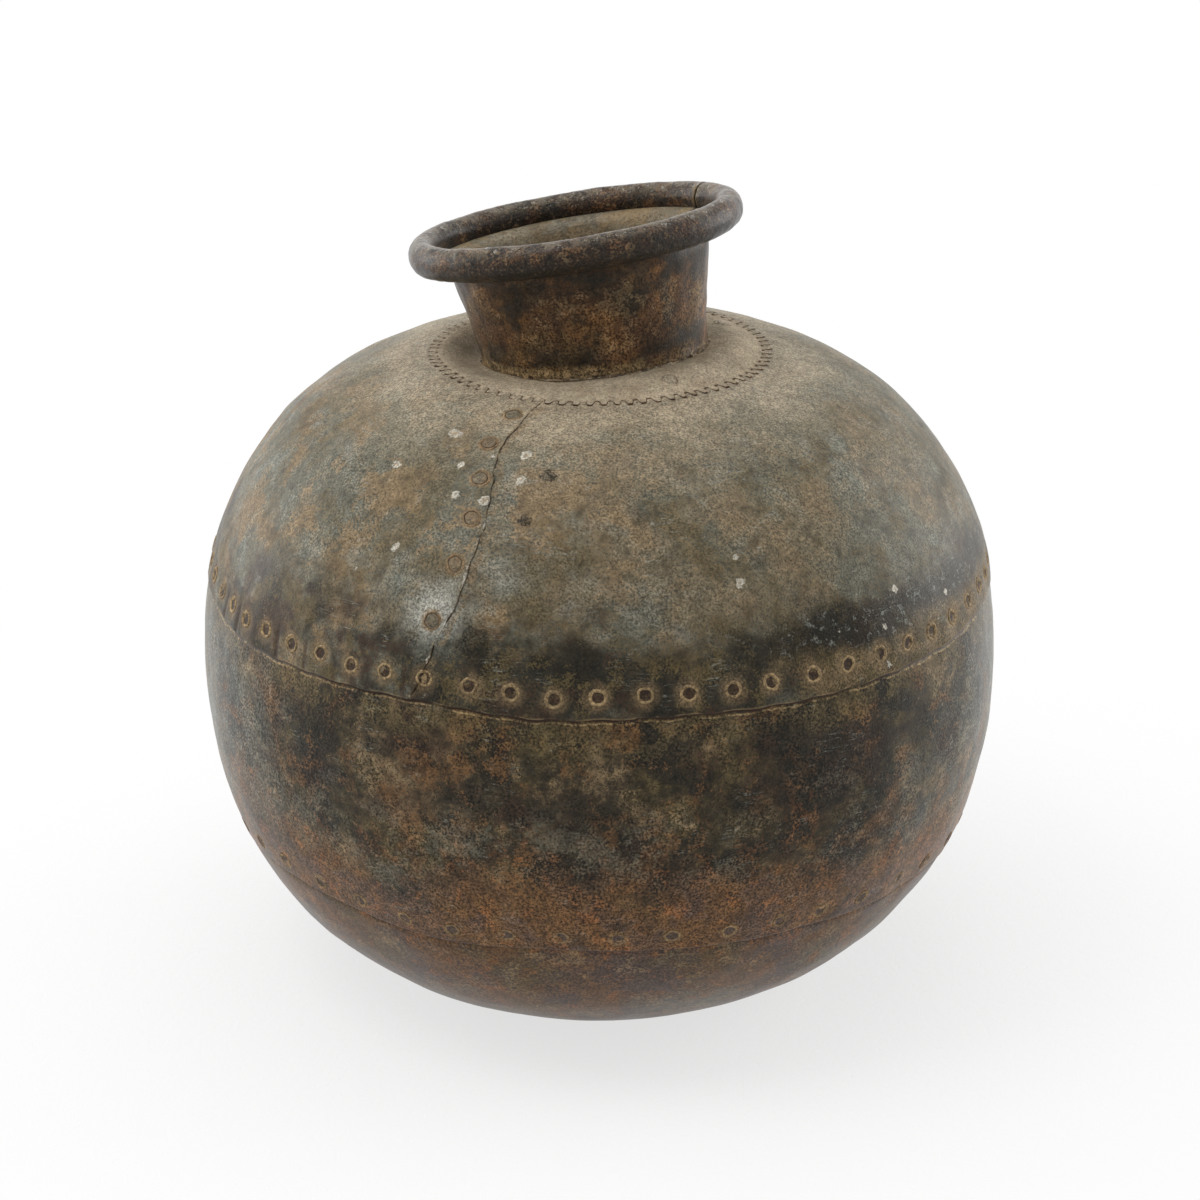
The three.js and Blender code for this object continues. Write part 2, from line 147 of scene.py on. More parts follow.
class PotColours(bpy.types.PropertyGroup):
    # Patina is also laid at the belly's left and right edges, where it partly paints a pale shine
    patina: colour_setting("Patina", "Grey-green skin of the shoulder", srgb(103, 101, 87))
    # Pale patina is also laid as painted light: part of the highlight on the shoulder, and part of the pale
    # shine at the belly's left and right edges
    pale_patina: colour_setting("Pale patina", "Blue-grey worn places", srgb(131, 134, 125))
    tan: colour_setting("Tan", "Tan blotches and dusty places", srgb(132, 112, 84))
    # Khaki dust also paints the pale highlight along the rim's crest
    khaki: colour_setting("Khaki dust", "Dust on the top", srgb(150, 139, 118))
    # Pale dust also paints the highlight line below the toothed seam
    dust: colour_setting("Pale dust", "Thick dust round the neck and on rings", srgb(180, 165, 141))
    ochre: colour_setting("Ochre", "Rust dust in corners and round rivets", srgb(158, 135, 98))
    # Soot also paints shade: on the top of the sleeve just under the rim, and on the underside of the rim's
    # roll
    soot: colour_setting("Soot", "Black-green smoke stain", srgb(37, 34, 27))
    # Umber also paints shade: along the toothed seam, and in the creases between the belly rivets
    umber: colour_setting("Umber", "Dark red-brown stain", srgb(58, 42, 32))
    olive: colour_setting("Olive", "Dark olive-brown of the belly", srgb(88, 76, 51))
    rust: colour_setting("Rust", "Rust of the lower half and the neck", srgb(108, 78, 49))
    orange: colour_setting("Orange rust", "Fresh flecks of rust", srgb(138, 88, 48))
    plum: colour_setting("Plum", "Plum-grey scale near the base", srgb(82, 67, 59))
    # Bright iron of worn spots, which also paints the highlight on the shoulder and the glints on the rim's
    # crest
    bare_and_glint: colour_setting("Bare iron", "Bright worn edges and spots", srgb(182, 179, 168))
    backdrop: colour_setting("Floor", "Plain pale floor", srgb(247, 247, 247))


# Curves and unevenness


def smooth(low, high, value):
    """0 below low, 1 above high, and an S-curve between them."""
    share = np.clip((value - low) / (high - low), 0, 1)
    return share * share * (3 - 2 * share)


def waves(points, wavelength, count, seed):
    """Smooth unevenness with a spread of 1, from many small waves in all directions."""
    random = np.random.default_rng(seed)
    headings = random.normal(size=(count, 3))
    headings /= np.linalg.norm(headings, axis=1)[:, None]
    headings *= 2 * np.pi / wavelength * random.uniform(0.7, 1.4, (count, 1))
    phases = random.uniform(0, 2 * np.pi, count)
    return np.cos(points @ headings.T + phases).sum(axis=-1) / math.sqrt(count / 2)


def round_waves(azimuth, lowest, highest, seed):
    """Unevenness round the pot that closes on itself, with a spread of 1."""
    random = np.random.default_rng(seed)
    turns = np.arange(lowest, highest + 1)
    heights = random.normal(size=turns.size)
    phases = random.uniform(0, 2 * np.pi, turns.size)
    total = sum(h * np.cos(n * azimuth + p) for h, n, p in zip(heights, turns, phases))
    return total / math.sqrt(turns.size / 2)


def bezier(points, share):
    start, first, second, end = (np.array(point) for point in points)
    t = share[:, None]
    return start * (1 - t) ** 3 + 3 * first * t * (1 - t) ** 2 + 3 * second * t**2 * (1 - t) + end * t**3


def trace_outline():
    """Length along the body's outline, its points as radius and height, and the way out of it."""
    share = np.linspace(0, 1, 600)
    inward = np.array((-math.cos(CROWN_SLOPE), math.sin(CROWN_SLOPE)))
    crown = np.array((CROWN_RADIUS, CROWN_HEIGHT))
    belly = (BELLY_RADIUS, BELLY_HEIGHT)
    lower = bezier(((BASE_RADIUS, 0), (BASE_RADIUS + BASE_REACH, 0),
                    (BELLY_RADIUS, BELLY_HEIGHT - LOWER_REACH), belly), share)
    upper = bezier((belly, (BELLY_RADIUS, BELLY_HEIGHT + UPPER_REACH),
                    crown - inward * CROWN_REACH, crown), share)
    line = np.vstack([lower, upper[1:], crown + inward * CROWN_RADIUS / 4])
    length = np.concatenate([[0], np.cumsum(np.linalg.norm(np.diff(line, axis=0), axis=1))])
    along = np.gradient(line, length, axis=0)
    along /= np.linalg.norm(along, axis=1)[:, None]
    return length, line, np.stack([along[:, 1], -along[:, 0]], axis=1)


OUTLINE_LENGTH, OUTLINE, OUTLINE_OUT = trace_outline()


def arc_at_height(height):
    return np.interp(height, OUTLINE[:, 1], OUTLINE_LENGTH)


def arc_at_radius(radius):
    above = OUTLINE[:, 1] > BELLY_HEIGHT
    return np.interp(-radius, -OUTLINE[above, 0], OUTLINE_LENGTH[above])


def radius_at(arc):
    return np.interp(arc, OUTLINE_LENGTH, OUTLINE[:, 0])


BASE_SEAM_ARC = arc_at_height(BASE_SEAM_HEIGHT)
BELLY_SEAM_ARC = arc_at_height(BELLY_SEAM_HEIGHT)
BELLY_LAP_ARC = BELLY_SEAM_ARC + BELLY_LAP
CROWN_ARC = arc_at_radius(CROWN_RADIUS)


def points_round(radius, azimuth, height):
    """Points at a distance, an azimuth and a height from an upright axis."""
    across, toward = radius * np.sin(azimuth), -radius * np.cos(azimuth)
    return np.stack(np.broadcast_arrays(across, toward, height), axis=-1)


def body_points(azimuth, arc, out):
    """Points of the body at an azimuth and a length along the outline, moved out square to it."""
    radius = radius_at(arc) + out * np.interp(arc, OUTLINE_LENGTH, OUTLINE_OUT[:, 0])
    height = np.interp(arc, OUTLINE_LENGTH, OUTLINE[:, 1])
    height = height + out * np.interp(arc, OUTLINE_LENGTH, OUTLINE_OUT[:, 1])
    return points_round(radius, azimuth, height)


def dents(points, depth):
    """How far hand work has pushed the sheets out or in at these points."""
    broad = waves(points, 0.085, 40, seed=11)
    middling = waves(points, 0.032, 40, seed=12)
    small = waves(points, 0.013, 60, seed=13)
    above_floor = smooth(0.0, 0.03, points[..., 2])
    return depth * (broad + 0.3 * middling + 0.09 * small) * above_floor


def front_seam(arc):
    """Azimuth of the front seam, with the waver of an edge cut by hand."""
    radii, degrees = np.array(FRONT_SEAM).T
    path = np.interp(radius_at(arc), radii, np.radians(degrees))
    return path + 0.0035 * np.sin(arc * 210) + 0.002 * np.sin(arc * 520 + 1)


def back_seam(arc):
    """Azimuth of the back seam, likewise."""
    return BACK_SEAM + 0.012 * np.sin(arc * 38) + 0.003 * np.sin(arc * 230)


def belly_edge(azimuth):
    """Lower edge of the shoulder plates, drawn in a little at each rivet."""
    drawn_in = 0.0003 * np.cos(BELLY_RIVETS * azimuth)
    return BELLY_SEAM_ARC + 0.0007 * round_waves(azimuth, 3, 14, seed=21) + drawn_in


def base_edge(azimuth):
    """Lower edge of the belly band, which sits lower on one side of the pot."""
    return BASE_SEAM_ARC + 0.0011 * round_waves(azimuth, 2, 12, seed=22) - 0.003 * np.sin(azimuth)


def lip(distance, drop):
    """How far a sheet's surface drops at its worn edge."""
    return drop * np.clip(1 - distance / LIP_WIDTH, 0, 1) ** 2


# Close places along the worn edge of a sheet, and where the even ones start
EDGE_PLACES = (0, 0.0003, 0.0007, 0.0012)
EDGE_END = 0.002


def places_along(length, spacing):
    """Shares of a length, close together at both ends and even between them."""
    near = np.array(EDGE_PLACES)
    middle = np.linspace(EDGE_END, length - EDGE_END, max(round(length / spacing), 2))
    return np.concatenate([near, middle, length - near[::-1]]) / length


def nearest(points, others):
    """Millimetres from each point to the nearest of the others, if it isn't far away."""
    flat = points.reshape(-1, 3)
    found = np.full(len(flat), FAR_AWAY)
    for other in others.reshape(-1, 3):
        found = np.minimum(found, np.linalg.norm(flat - other, axis=1) * MILLIMETRES)
    return found.reshape(points.shape[:-1])


# Meshes


def grid_faces(rows, columns, closed_rows, closed_columns):
    """Quads between neighbouring points of a grid that is stored row by row."""
    row = np.arange(rows if closed_rows else rows - 1)[:, None]
    column = np.arange(columns if closed_columns else columns - 1)[None, :]
    next_row = (row + 1) % rows
    next_column = (column + 1) % columns
    corners = (row * columns + column, row * columns + next_column,
               next_row * columns + next_column, next_row * columns + column)
    return np.stack(np.broadcast_arrays(*corners), axis=-1).reshape(-1, 4)


def add_object(name, data):
    added = bpy.data.objects.new(name, data)
    bpy.context.scene.collection.objects.link(added)
    return added


def finish_piece(name, points, faces, materials, replaced=(), values=None, inside=None):
    """Makes an object of the pot, with values stored on its points for its material to read."""
    mesh = bpy.data.meshes.new(name)
    mesh.from_pydata(points.reshape(-1, 3).tolist(), [], faces)
    mesh.shade_smooth()
    mesh.set_sharp_from_angle(angle=math.radians(50))
    for material in materials:
        mesh.materials.append(material)
    if inside is not None:
        mesh.polygons.foreach_set("material_index", inside.astype(np.int32))
    for key, value in (values or {}).items():
        stored = mesh.attributes.new(key, "FLOAT", "POINT")
        stored.data.foreach_set("value", np.ascontiguousarray(value, dtype=np.float32).ravel())
    piece = add_object(name, mesh)
    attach(piece, "root")
    if replaced:
        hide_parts(*replaced)
    return piece


def sheet_piece(name, outer, inner, materials, replaced, values, open_sides=False, hub=False):
    """A sheet with an outer and an inner grid of points, closed along its edges.

    Its sides are open for a plate, and its first rows close to a disc for a bowl.
    """
    points = np.concatenate([outer, inner])
    rows, columns = points.shape[:2]
    quads = grid_faces(rows, columns, not hub, not open_sides)
    faces = quads.tolist()
    inside = (np.arange(len(faces)) // (columns - open_sides)) >= len(outer)
    if open_sides:
        faces.append((np.arange(rows) * columns)[::-1].tolist())
        faces.append((np.arange(rows) * columns + columns - 1).tolist())
        inside = np.concatenate([inside, [False, False]])
    if hub:
        faces.append(np.arange(columns)[::-1].tolist())
        faces.append((np.arange(columns) + (rows - 1) * columns).tolist())
        inside = np.concatenate([inside, [False, True]])
    hidden = np.full(inner.shape[:2], FAR_AWAY)
    stored = {key: np.concatenate([value, hidden]) for key, value in values.items()}
    return finish_piece(name, points, faces, materials, replaced, stored, inside)


# Sheets


def tooth_phase(azimuth, sizes):
    """Turns by a whole circle for each tooth; the teeth are cut by eye."""
    return sizes.teeth * azimuth + 0.4 * round_waves(azimuth, 5, 20, seed=31)


def tooth_radius(azimuth, sizes):
    """Radius of the toothed seam round the neck plate."""
    return CROWN_RADIUS + sizes.tooth_depth / 2 * np.clip(2.1 * np.sin(tooth_phase(azimuth, sizes)), -1, 1)


def slit_distance(azimuth, radius, sizes):
    """Millimetres to the open side of the nearest tooth, less than 0 before it."""
    turn = np.mod(tooth_phase(azimuth, sizes) + np.pi, 2 * np.pi) - np.pi
    aside = turn / sizes.teeth * radius
    beyond = np.maximum(np.abs(radius - CROWN_RADIUS) - sizes.tooth_depth / 2, 0)
    return np.where(aside < 0, -1, 1) * np.hypot(aside, beyond) * MILLIMETRES


def row_rivets(count, phase, edge, rise, seed):
    """Azimuth and arc of the rivets in a row above an edge, a little out of step."""
    random = np.random.default_rng(seed)
    azimuth = phase + 2 * np.pi * np.arange(count) / count + np.radians(random.normal(0, 0.22, count))
    return azimuth, edge(azimuth) + rise + random.normal(0, 0.0006, count)


def belly_rivet_places(sizes):
    return row_rivets(sizes.belly_rivets, 0.0, belly_edge, BELLY_RIVET_RISE, seed=41)


def base_rivet_places(sizes):
    return row_rivets(sizes.base_rivets, BASE_RIVET_TURN, base_edge, BASE_RIVET_RISE, seed=42)


def seam_rivet_places(seam):
    arc = arc_at_radius(np.array(SEAM_RIVET_RADII))
    return seam(arc) - SEAM_RIVET_EDGE / radius_at(arc), arc


def upper_share(arc):
    """1 below the belly lap and 0 at the crown."""
    return np.clip((CROWN_ARC - arc) / (CROWN_ARC - BELLY_LAP_ARC), 0, 1)


def seam_lift(arc):
    """How far a plate stands up where it lies on the other; that one is set down under it."""
    return SIDE_LIFT * (0.45 + 0.55 * upper_share(arc))


def creases(azimuth, arc, sizes):
    """1 along the creases between the rivets of the belly on one side of the pot, and 0 away from them."""
    azimuths = belly_rivet_places(sizes)[0]
    middles = azimuths + np.pi / sizes.belly_rivets
    turns = [np.abs(np.sin((azimuth - middle) / 2)) for middle in middles]
    apart = np.min(turns, axis=0) * 2 * radius_at(arc)
    above = arc - belly_edge(azimuth)
    side = smooth(0.55, 0.9, np.cos(azimuth - CREASED_SIDE))
    uneven = smooth(-0.8, 0.6, round_waves(azimuth, 8, 30, seed=43))
    return np.exp(-((apart / 0.0016) ** 2)) * (1 - smooth(0.010, 0.020, above)) * side * uneven


def pillows(azimuth, arc, base, sizes):
    """The sheet is drawn in at each belly rivet and along the creases."""
    apart = nearest(base, body_points(*belly_rivet_places(sizes), 0))
    row = np.exp(-(((arc - belly_edge(azimuth) - BELLY_RIVET_RISE) / 0.008) ** 2))
    return 0.00025 * row - 0.0006 * np.exp(-((apart / 5.5) ** 2)) - 0.0006 * creases(azimuth, arc, sizes)


def dish(base):
    """A round dent in the front of the shoulder."""
    degrees, radius, size = FRONT_DENT
    apart = np.linalg.norm(base - body_points(np.radians(degrees), arc_at_radius(radius), 0), axis=-1) / size
    return -0.0011 * (1 - smooth(0.45, 1.0, apart))


def shoulder_out(azimuth, arc, sizes):
    """How far the outside of the shoulder plates stands out from the body's outline."""
    out = SHOWN_STEP * upper_share(arc)
    for seam in (front_seam(arc), back_seam(arc)):
        before = np.mod(seam - azimuth, 2 * np.pi) * radius_at(arc)
        out = out + seam_lift(arc) * (1 - smooth(0.022, 0.055, before))
    base = body_points(azimuth, arc, 0)
    return out + pillows(azimuth, arc, base, sizes) + dish(base) + dents(base, sizes.dent_depth)


def under_lap(above_edge, step):
    """How far a sheet is set down under the edge of the next one, where that edge shows a step."""
    return (LAP_STEP - step) * smooth(-0.001, 0.0015, above_edge)


def band_out(azimuth, arc, sizes):
    set_down = under_lap(arc - belly_edge(azimuth), SHOWN_STEP)
    return dents(body_points(azimuth, arc, 0), sizes.dent_depth) - set_down


def bowl_out(azimuth, arc, sizes):
    inset = BASE_STEP * smooth(0.5, 1.0, arc / BASE_SEAM_ARC) + under_lap(arc - base_edge(azimuth), BASE_STEP)
    return dents(body_points(azimuth, arc, 0), sizes.dent_depth) - inset


# Worn places on the shoulder: azimuth in degrees, radius from the axis, and size
BARE_SPOTS = (
    (-34.8, 0.1124, 0.0028), (-15.8, 0.118, 0.0024), (-28.3, 0.1272, 0.0018), (-26.2, 0.1404, 0.0015),
    (-15.1, 0.1303, 0.0022), (-20.7, 0.1413, 0.0023), (-22.9, 0.1214, 0.0014), (-42.1, 0.1339, 0.002),
    (-39.5, 0.1671, 0.001), (-33.8, 0.1603, 0.0015), (21.4, 0.1597, 0.001), (21.2, 0.1661, 0.0014),
    (47.8, 0.1754, 0.0012), (43.2, 0.1847, 0.0014), (35.4, 0.1787, 0.0009), (43.9, 0.1803, 0.0012),
    (46.2, 0.1785, 0.0009), (60.0, 0.1799, 0.001),
)
WORN_EDGE = (0.164, 0.014)  # middle and half length of the worn stretch of the front seam's edge
# Painted highlight on the shoulder, a reflection of light laid in as colour: azimuth in degrees, radius from
# the axis, and size of each place
PAINTED_SHEEN_SPOTS = ((-24.3, 0.1728, 0.022), (-14.2, 0.1655, 0.012))
SCARS = ((-17.6, 0.1772, 0.0064), (-10.2, 0.1285, 0.0034), (-12.6, 0.1463, 0.0022))


def spot_distance(points, spots):
    """Millimetres to the edge of the nearest spot, less than 0 inside it."""
    found = np.full(points.shape[:-1], FAR_AWAY)
    for degrees, radius, size in spots:
        middle = body_points(np.radians(degrees), arc_at_radius(radius), 0)
        found = np.minimum(found, (np.linalg.norm(points - middle, axis=-1) - size) * MILLIMETRES)
    return found


def every_few(rows, kept):
    """Row numbers of a coarser grid, from the last row to the first."""
    return np.linspace(len(rows) - 1, 0, kept).round().astype(int)


def inner_side(azimuth, arc, out, kept):
    """Inside of a sheet of the body, with only some of its rows."""
    rows = every_few(arc, kept)
    return body_points(azimuth[rows], arc[rows], out[rows])


PLATE_WIDTH = 0.62  # of a shoulder plate along the belly seam, about
NO_CREASE = 1000.0  # value of a point away from the creases, which have 0


def make_shoulder_plate(side, sizes, materials):
    columns = places_along(PLATE_WIDTH, spacing=0.0013)
    rows = places_along(CROWN_ARC - BELLY_SEAM_ARC, spacing=0.0017)[:, None]
    arc = BELLY_SEAM_ARC + (CROWN_ARC - BELLY_SEAM_ARC) * rows
    tuck = SIDE_TUCK / radius_at(arc)
    if side == "left":
        start, end = back_seam(arc) - 2 * np.pi, front_seam(arc)
    else:
        start, end = front_seam(arc), back_seam(arc)
    azimuth = start - tuck + (end - start + tuck) * columns
    bottom = belly_edge(azimuth)
    top = arc_at_radius(tooth_radius(azimuth, sizes) + TOOTH_GAP / 2)
    arc = bottom + (top - bottom) * rows
    across = radius_at(arc)
    to_edge = (end - azimuth) * across
    past_seam = (azimuth - start) * across
    base = body_points(azimuth, arc, 0)
    out = shoulder_out(azimuth, arc, sizes)
    # The edge that goes under the other plate is set down, and has none of the lift of the plate over it
    set_down = 1 - smooth(-0.0035, 0.0004, past_seam)
    out = np.where(past_seam < 0, out - seam_lift(arc), out) - (LAP_STEP - seam_lift(arc)) * set_down
    scar = spot_distance(base, SCARS)
    crust = 0.0005 * (1 - smooth(-1.0, 0.5, scar)) * (1 + 0.6 * waves(base, 0.004, 40, seed=52))
    worn = lip(to_edge, 0.4 * seam_lift(arc)) + lip(arc - bottom, 0.0006) + lip(top - arc, 0.0003)
    outer = body_points(azimuth, arc, out - worn + crust)
    # The upper edge is thinned to lie on the other plate where that comes up beside it
    under = smooth(-0.0035, 0.0004, -to_edge)
    thickness = sizes.sheet - (LAP_STEP - seam_lift(arc)) * under
    inner = inner_side(azimuth, arc, out - thickness, kept=14)
    own_edge = np.minimum(to_edge, arc - bottom)
    seam = np.where((past_seam < own_edge) & (past_seam > -0.001), -np.abs(past_seam), own_edge)
    rivets = body_points(*belly_rivet_places(sizes), 0)
    seam_rivets = [body_points(*seam_rivet_places(each), 0) for each in (front_seam, back_seam)]
    spots = spot_distance(base, BARE_SPOTS)
    if side == "left":
        beyond = (np.abs(across - WORN_EDGE[0]) - WORN_EDGE[1]) * 200
        spots = np.minimum(spots, np.maximum(to_edge * MILLIMETRES - 0.3, beyond))
    values = {
        "seam": np.clip(seam * MILLIMETRES, -FAR_AWAY, FAR_AWAY),
        "tooth": np.minimum((top - arc) * MILLIMETRES, FAR_AWAY),
        "slit": slit_distance(azimuth, across, sizes),
        "rivet": nearest(base, rivets),
        "seam_rivet": nearest(base, np.concatenate(seam_rivets)),
        "bare_spot": spots,
        "painted_sheen": spot_distance(base, PAINTED_SHEEN_SPOTS),
        "scar": scar,
        "crease": NO_CREASE * (1 - creases(azimuth, arc, sizes)),
    }
    name = f"shoulder_plate_{side}"
    return sheet_piece(f"{name}_sheet", outer, inner, materials, [name], values,
                       open_sides=True)


def ring_azimuths(columns):
    return np.linspace(0, 2 * np.pi, columns, endpoint=False)[None, :]


def make_belly_band(sizes, materials):
    azimuth = ring_azimuths(720)
    rows = places_along(BELLY_LAP_ARC - BASE_SEAM_ARC, spacing=0.002)[:, None]
    bottom = base_edge(azimuth)
    arc = bottom + (belly_edge(azimuth) + BELLY_LAP - bottom) * rows
    azimuth = np.broadcast_to(azimuth, arc.shape)
    out = band_out(azimuth, arc, sizes)
    outer = body_points(azimuth, arc, out - lip(arc - bottom, 0.0006))
    inner = inner_side(azimuth, arc, out - sizes.sheet, kept=10)
    below = belly_edge(azimuth) - arc
    seam = np.where(below < arc - bottom, -below, arc - bottom)
    rivets = body_points(*base_rivet_places(sizes), 0)
    values = {
        "seam": np.clip(seam * MILLIMETRES, -FAR_AWAY, FAR_AWAY),
        "rivet": nearest(body_points(azimuth, arc, 0), rivets),
    }
    return sheet_piece("belly_band_sheet", outer, inner, materials, ["belly_band"], values)


def make_bottom_bowl(sizes, materials):
    azimuth = ring_azimuths(480)
    disc = np.linspace(0.004, BASE_RADIUS, 12)[:-1, None]
    flat = points_round(disc, azimuth, 0.0)
    rows = places_along(BASE_SEAM_ARC + BASE_LAP, spacing=0.0026)[:, None]
    arc = (base_edge(azimuth) + BASE_LAP) * rows
    azimuth = np.broadcast_to(azimuth, arc.shape)
    out = bowl_out(azimuth, arc, sizes)
    outer = np.concatenate([flat, body_points(azimuth, arc, out)])
    inner = inner_side(azimuth, arc, out - sizes.sheet, kept=12)
    inner = np.concatenate([inner, flat[::-2] + np.array((0, 0, sizes.sheet))])
    seam = np.concatenate([np.full(flat.shape[:2], -FAR_AWAY), (arc - base_edge(azimuth)) * MILLIMETRES])
    values = {"seam": np.clip(seam, -FAR_AWAY, FAR_AWAY)}
    return sheet_piece("bottom_bowl_sheet", outer, inner, materials, ["bottom_bowl"], values,
                       hub=True)


# Neck


def plane_rise(normal, x, y):
    return -(normal[0] * x + normal[1] * y) / normal[2]


SEAT_NORMAL = SEAT_TURN.col[2]
FOOT_NORMAL = (NECK_TURN.transposed() @ SEAT_TURN).col[2]


def neck_points(radius, azimuth, rise):
    """Points of the leaning neck from its own radius, azimuth and rise, in the pot's frame."""
    own = points_round(radius, azimuth, rise)
    return own @ np.array(NECK_TURN).T + np.array((NECK_SHIFT, 0, CROWN_HEIGHT))


def foot_rise(radius, azimuth):
    """Rise of the neck plate's seat in the neck's own frame."""
    return plane_rise(FOOT_NORMAL, radius * np.sin(azimuth), -radius * np.cos(azimuth))


def plate_height(x, y):
    """Height of the neck plate: a tilted seat round the neck that eases into the crown."""
    radius = np.hypot(x, y)
    seat = CROWN_HEIGHT + plane_rise(SEAT_NORMAL, x - NECK_SHIFT, y)
    crown = CROWN_HEIGHT + (CROWN_RADIUS - radius) * math.tan(CROWN_SLOPE)
    share = smooth(0.057, 0.0765, radius)
    return seat + (crown - seat) * share


def plate_points(azimuth, radius, sizes):
    x, y = radius * np.sin(azimuth), -radius * np.cos(azimuth)
    points = np.stack(np.broadcast_arrays(x, y, plate_height(x, y)), axis=-1)
    points[..., 2] += dents(points, sizes.dent_depth)
    return points


def make_neck_plate(sizes, materials):
    azimuth = ring_azimuths(12 * sizes.teeth)
    rim = tooth_radius(azimuth, sizes) - TOOTH_GAP / 2
    hole = NECK_FOOT_RADIUS - 0.0004
    inner_x, inner_y = NECK_SHIFT + hole * np.sin(azimuth), -hole * np.cos(azimuth)
    outer_x, outer_y = rim * np.sin(azimuth), -rim * np.cos(azimuth)
    rows = places_along(CROWN_RADIUS - hole, spacing=0.0012)[:, None]
    x = outer_x + (inner_x - outer_x) * rows
    y = outer_y + (inner_y - outer_y) * rows
    top = np.stack([x, y, plate_height(x, y)], axis=-1)
    from_tooth = np.hypot(x - outer_x, y - outer_y)
    tongues = smooth(CROWN_RADIUS - 0.001, CROWN_RADIUS + 0.001, np.hypot(x, y))
    top[..., 2] += dents(top, sizes.dent_depth) + TONGUE_LIFT * tongues - lip(from_tooth, 0.0002)
    under = top[every_few(top, kept=5)] - np.array((0, 0, sizes.sheet))
    values = {
        "tooth": np.minimum(from_tooth * MILLIMETRES, FAR_AWAY),
        "slit": slit_distance(np.broadcast_to(azimuth, x.shape), np.hypot(x, y), sizes),
        "foot": np.minimum(np.hypot(x - inner_x, y - inner_y) * MILLIMETRES, FAR_AWAY),
    }
    return sheet_piece("neck_plate_sheet", top, under, materials, ["neck_plate"], values)


def sleeve_radius(rise):
    """Outer radius of the neck sleeve, with a small flare at its foot."""
    share = np.clip(rise / (RIM_RISE - RIM_HALF_HEIGHT), 0, 1)
    cone = NECK_FOOT_RADIUS + (NECK_TOP_RADIUS - NECK_FOOT_RADIUS) * (0.75 * share + 0.25 * share**2)
    return cone + 0.0011 * np.clip(1 - rise / 0.006, 0, 1) ** 2


def sleeve_dents(azimuth, rise):
    own = np.stack(np.broadcast_arrays(0.06 * np.sin(azimuth), 0.06 * np.cos(azimuth), rise), axis=-1)
    return 0.00035 * waves(own, 0.05, 40, seed=61) + 0.00012 * waves(own, 0.014, 40, seed=62)


def make_neck_sleeve(sizes, materials):
    azimuth = ring_azimuths(300)
    shares = places_along(RIM_RISE - RIM_HALF_HEIGHT, spacing=0.0013)[:, None]
    foot = foot_rise(NECK_FOOT_RADIUS, azimuth) - 0.0022
    rise = foot + (RIM_RISE - RIM_HALF_HEIGHT + 0.0008 - foot) * shares
    radius = sleeve_radius(rise - foot) + sleeve_dents(azimuth, rise)
    seam = np.abs(np.mod(azimuth - RIM_JOINT + np.pi, 2 * np.pi) - np.pi) * radius
    outer = neck_points(radius, azimuth, rise)
    back = slice(None, None, -1)
    groove = 0.0005 * np.exp(-((seam / 0.0006) ** 2))
    inner = neck_points((radius - sizes.sheet + groove)[back], azimuth, rise[back])
    values = {"foot": np.minimum((rise - foot) * MILLIMETRES, 2 * FAR_AWAY)}
    return sheet_piece("neck_sleeve_sheet", outer, inner, materials, ["neck_sleeve"], values)


def make_foot_bead(materials):
    """Crusty bead that fills the corner between the sleeve and the neck plate."""
    azimuth = ring_azimuths(420)
    turn = np.linspace(0, 2 * np.pi, 12, endpoint=False)[:, None]
    spine = NECK_FOOT_RADIUS * np.stack([np.sin(azimuth), np.cos(azimuth), 0 * azimuth], axis=-1)
    size = 0.0008 + 0.0003 * waves(spine, 0.02, 30, seed=63) + 0.0002 * waves(spine, 0.005, 30, seed=64)
    size = np.clip(size, 0.0003, 0.0018)
    radius = NECK_FOOT_RADIUS + 0.0011 + size * np.cos(turn)
    rise = foot_rise(NECK_FOOT_RADIUS, azimuth) + 0.6 * size * np.sin(turn)
    rough = neck_points(radius, azimuth, rise)
    crust = 0.0002 * waves(rough, 0.003, 60, seed=65)
    points = neck_points(radius + crust * np.cos(turn), azimuth, rise + crust * np.sin(turn))
    faces = grid_faces(*points.shape[:2], True, True).tolist()
    return finish_piece("neck_foot_bead", points, faces, materials)


def rim_section():
    """Middle line of the rim's strip: up inside the sleeve, over the wire and back under it."""
    roll = np.radians(np.linspace(212, -84, 44))
    half_width, half_height = RIM_HALF_WIDTH - 0.0008, RIM_HALF_HEIGHT - 0.0008
    rolled = np.stack([RIM_RADIUS + half_width * np.cos(roll), RIM_RISE + half_height * np.sin(roll)], axis=1)
    wall = sleeve_radius(RIM_SKIRT_RISE) - 0.0019
    skirt = bezier(((wall, RIM_SKIRT_RISE), (wall + 0.0014, RIM_SKIRT_RISE + 0.008),
                    (wall + 0.0022, RIM_SKIRT_RISE + 0.0118), tuple(rolled[0])), np.linspace(0, 1, 16))
    last_rise = rolled[-1][1]
    lip_end = [(NECK_TOP_RADIUS + 0.003, last_rise + 0.0002), (NECK_TOP_RADIUS + 0.001, last_rise + 0.0008)]
    return np.concatenate([skirt[:-1], rolled, lip_end])


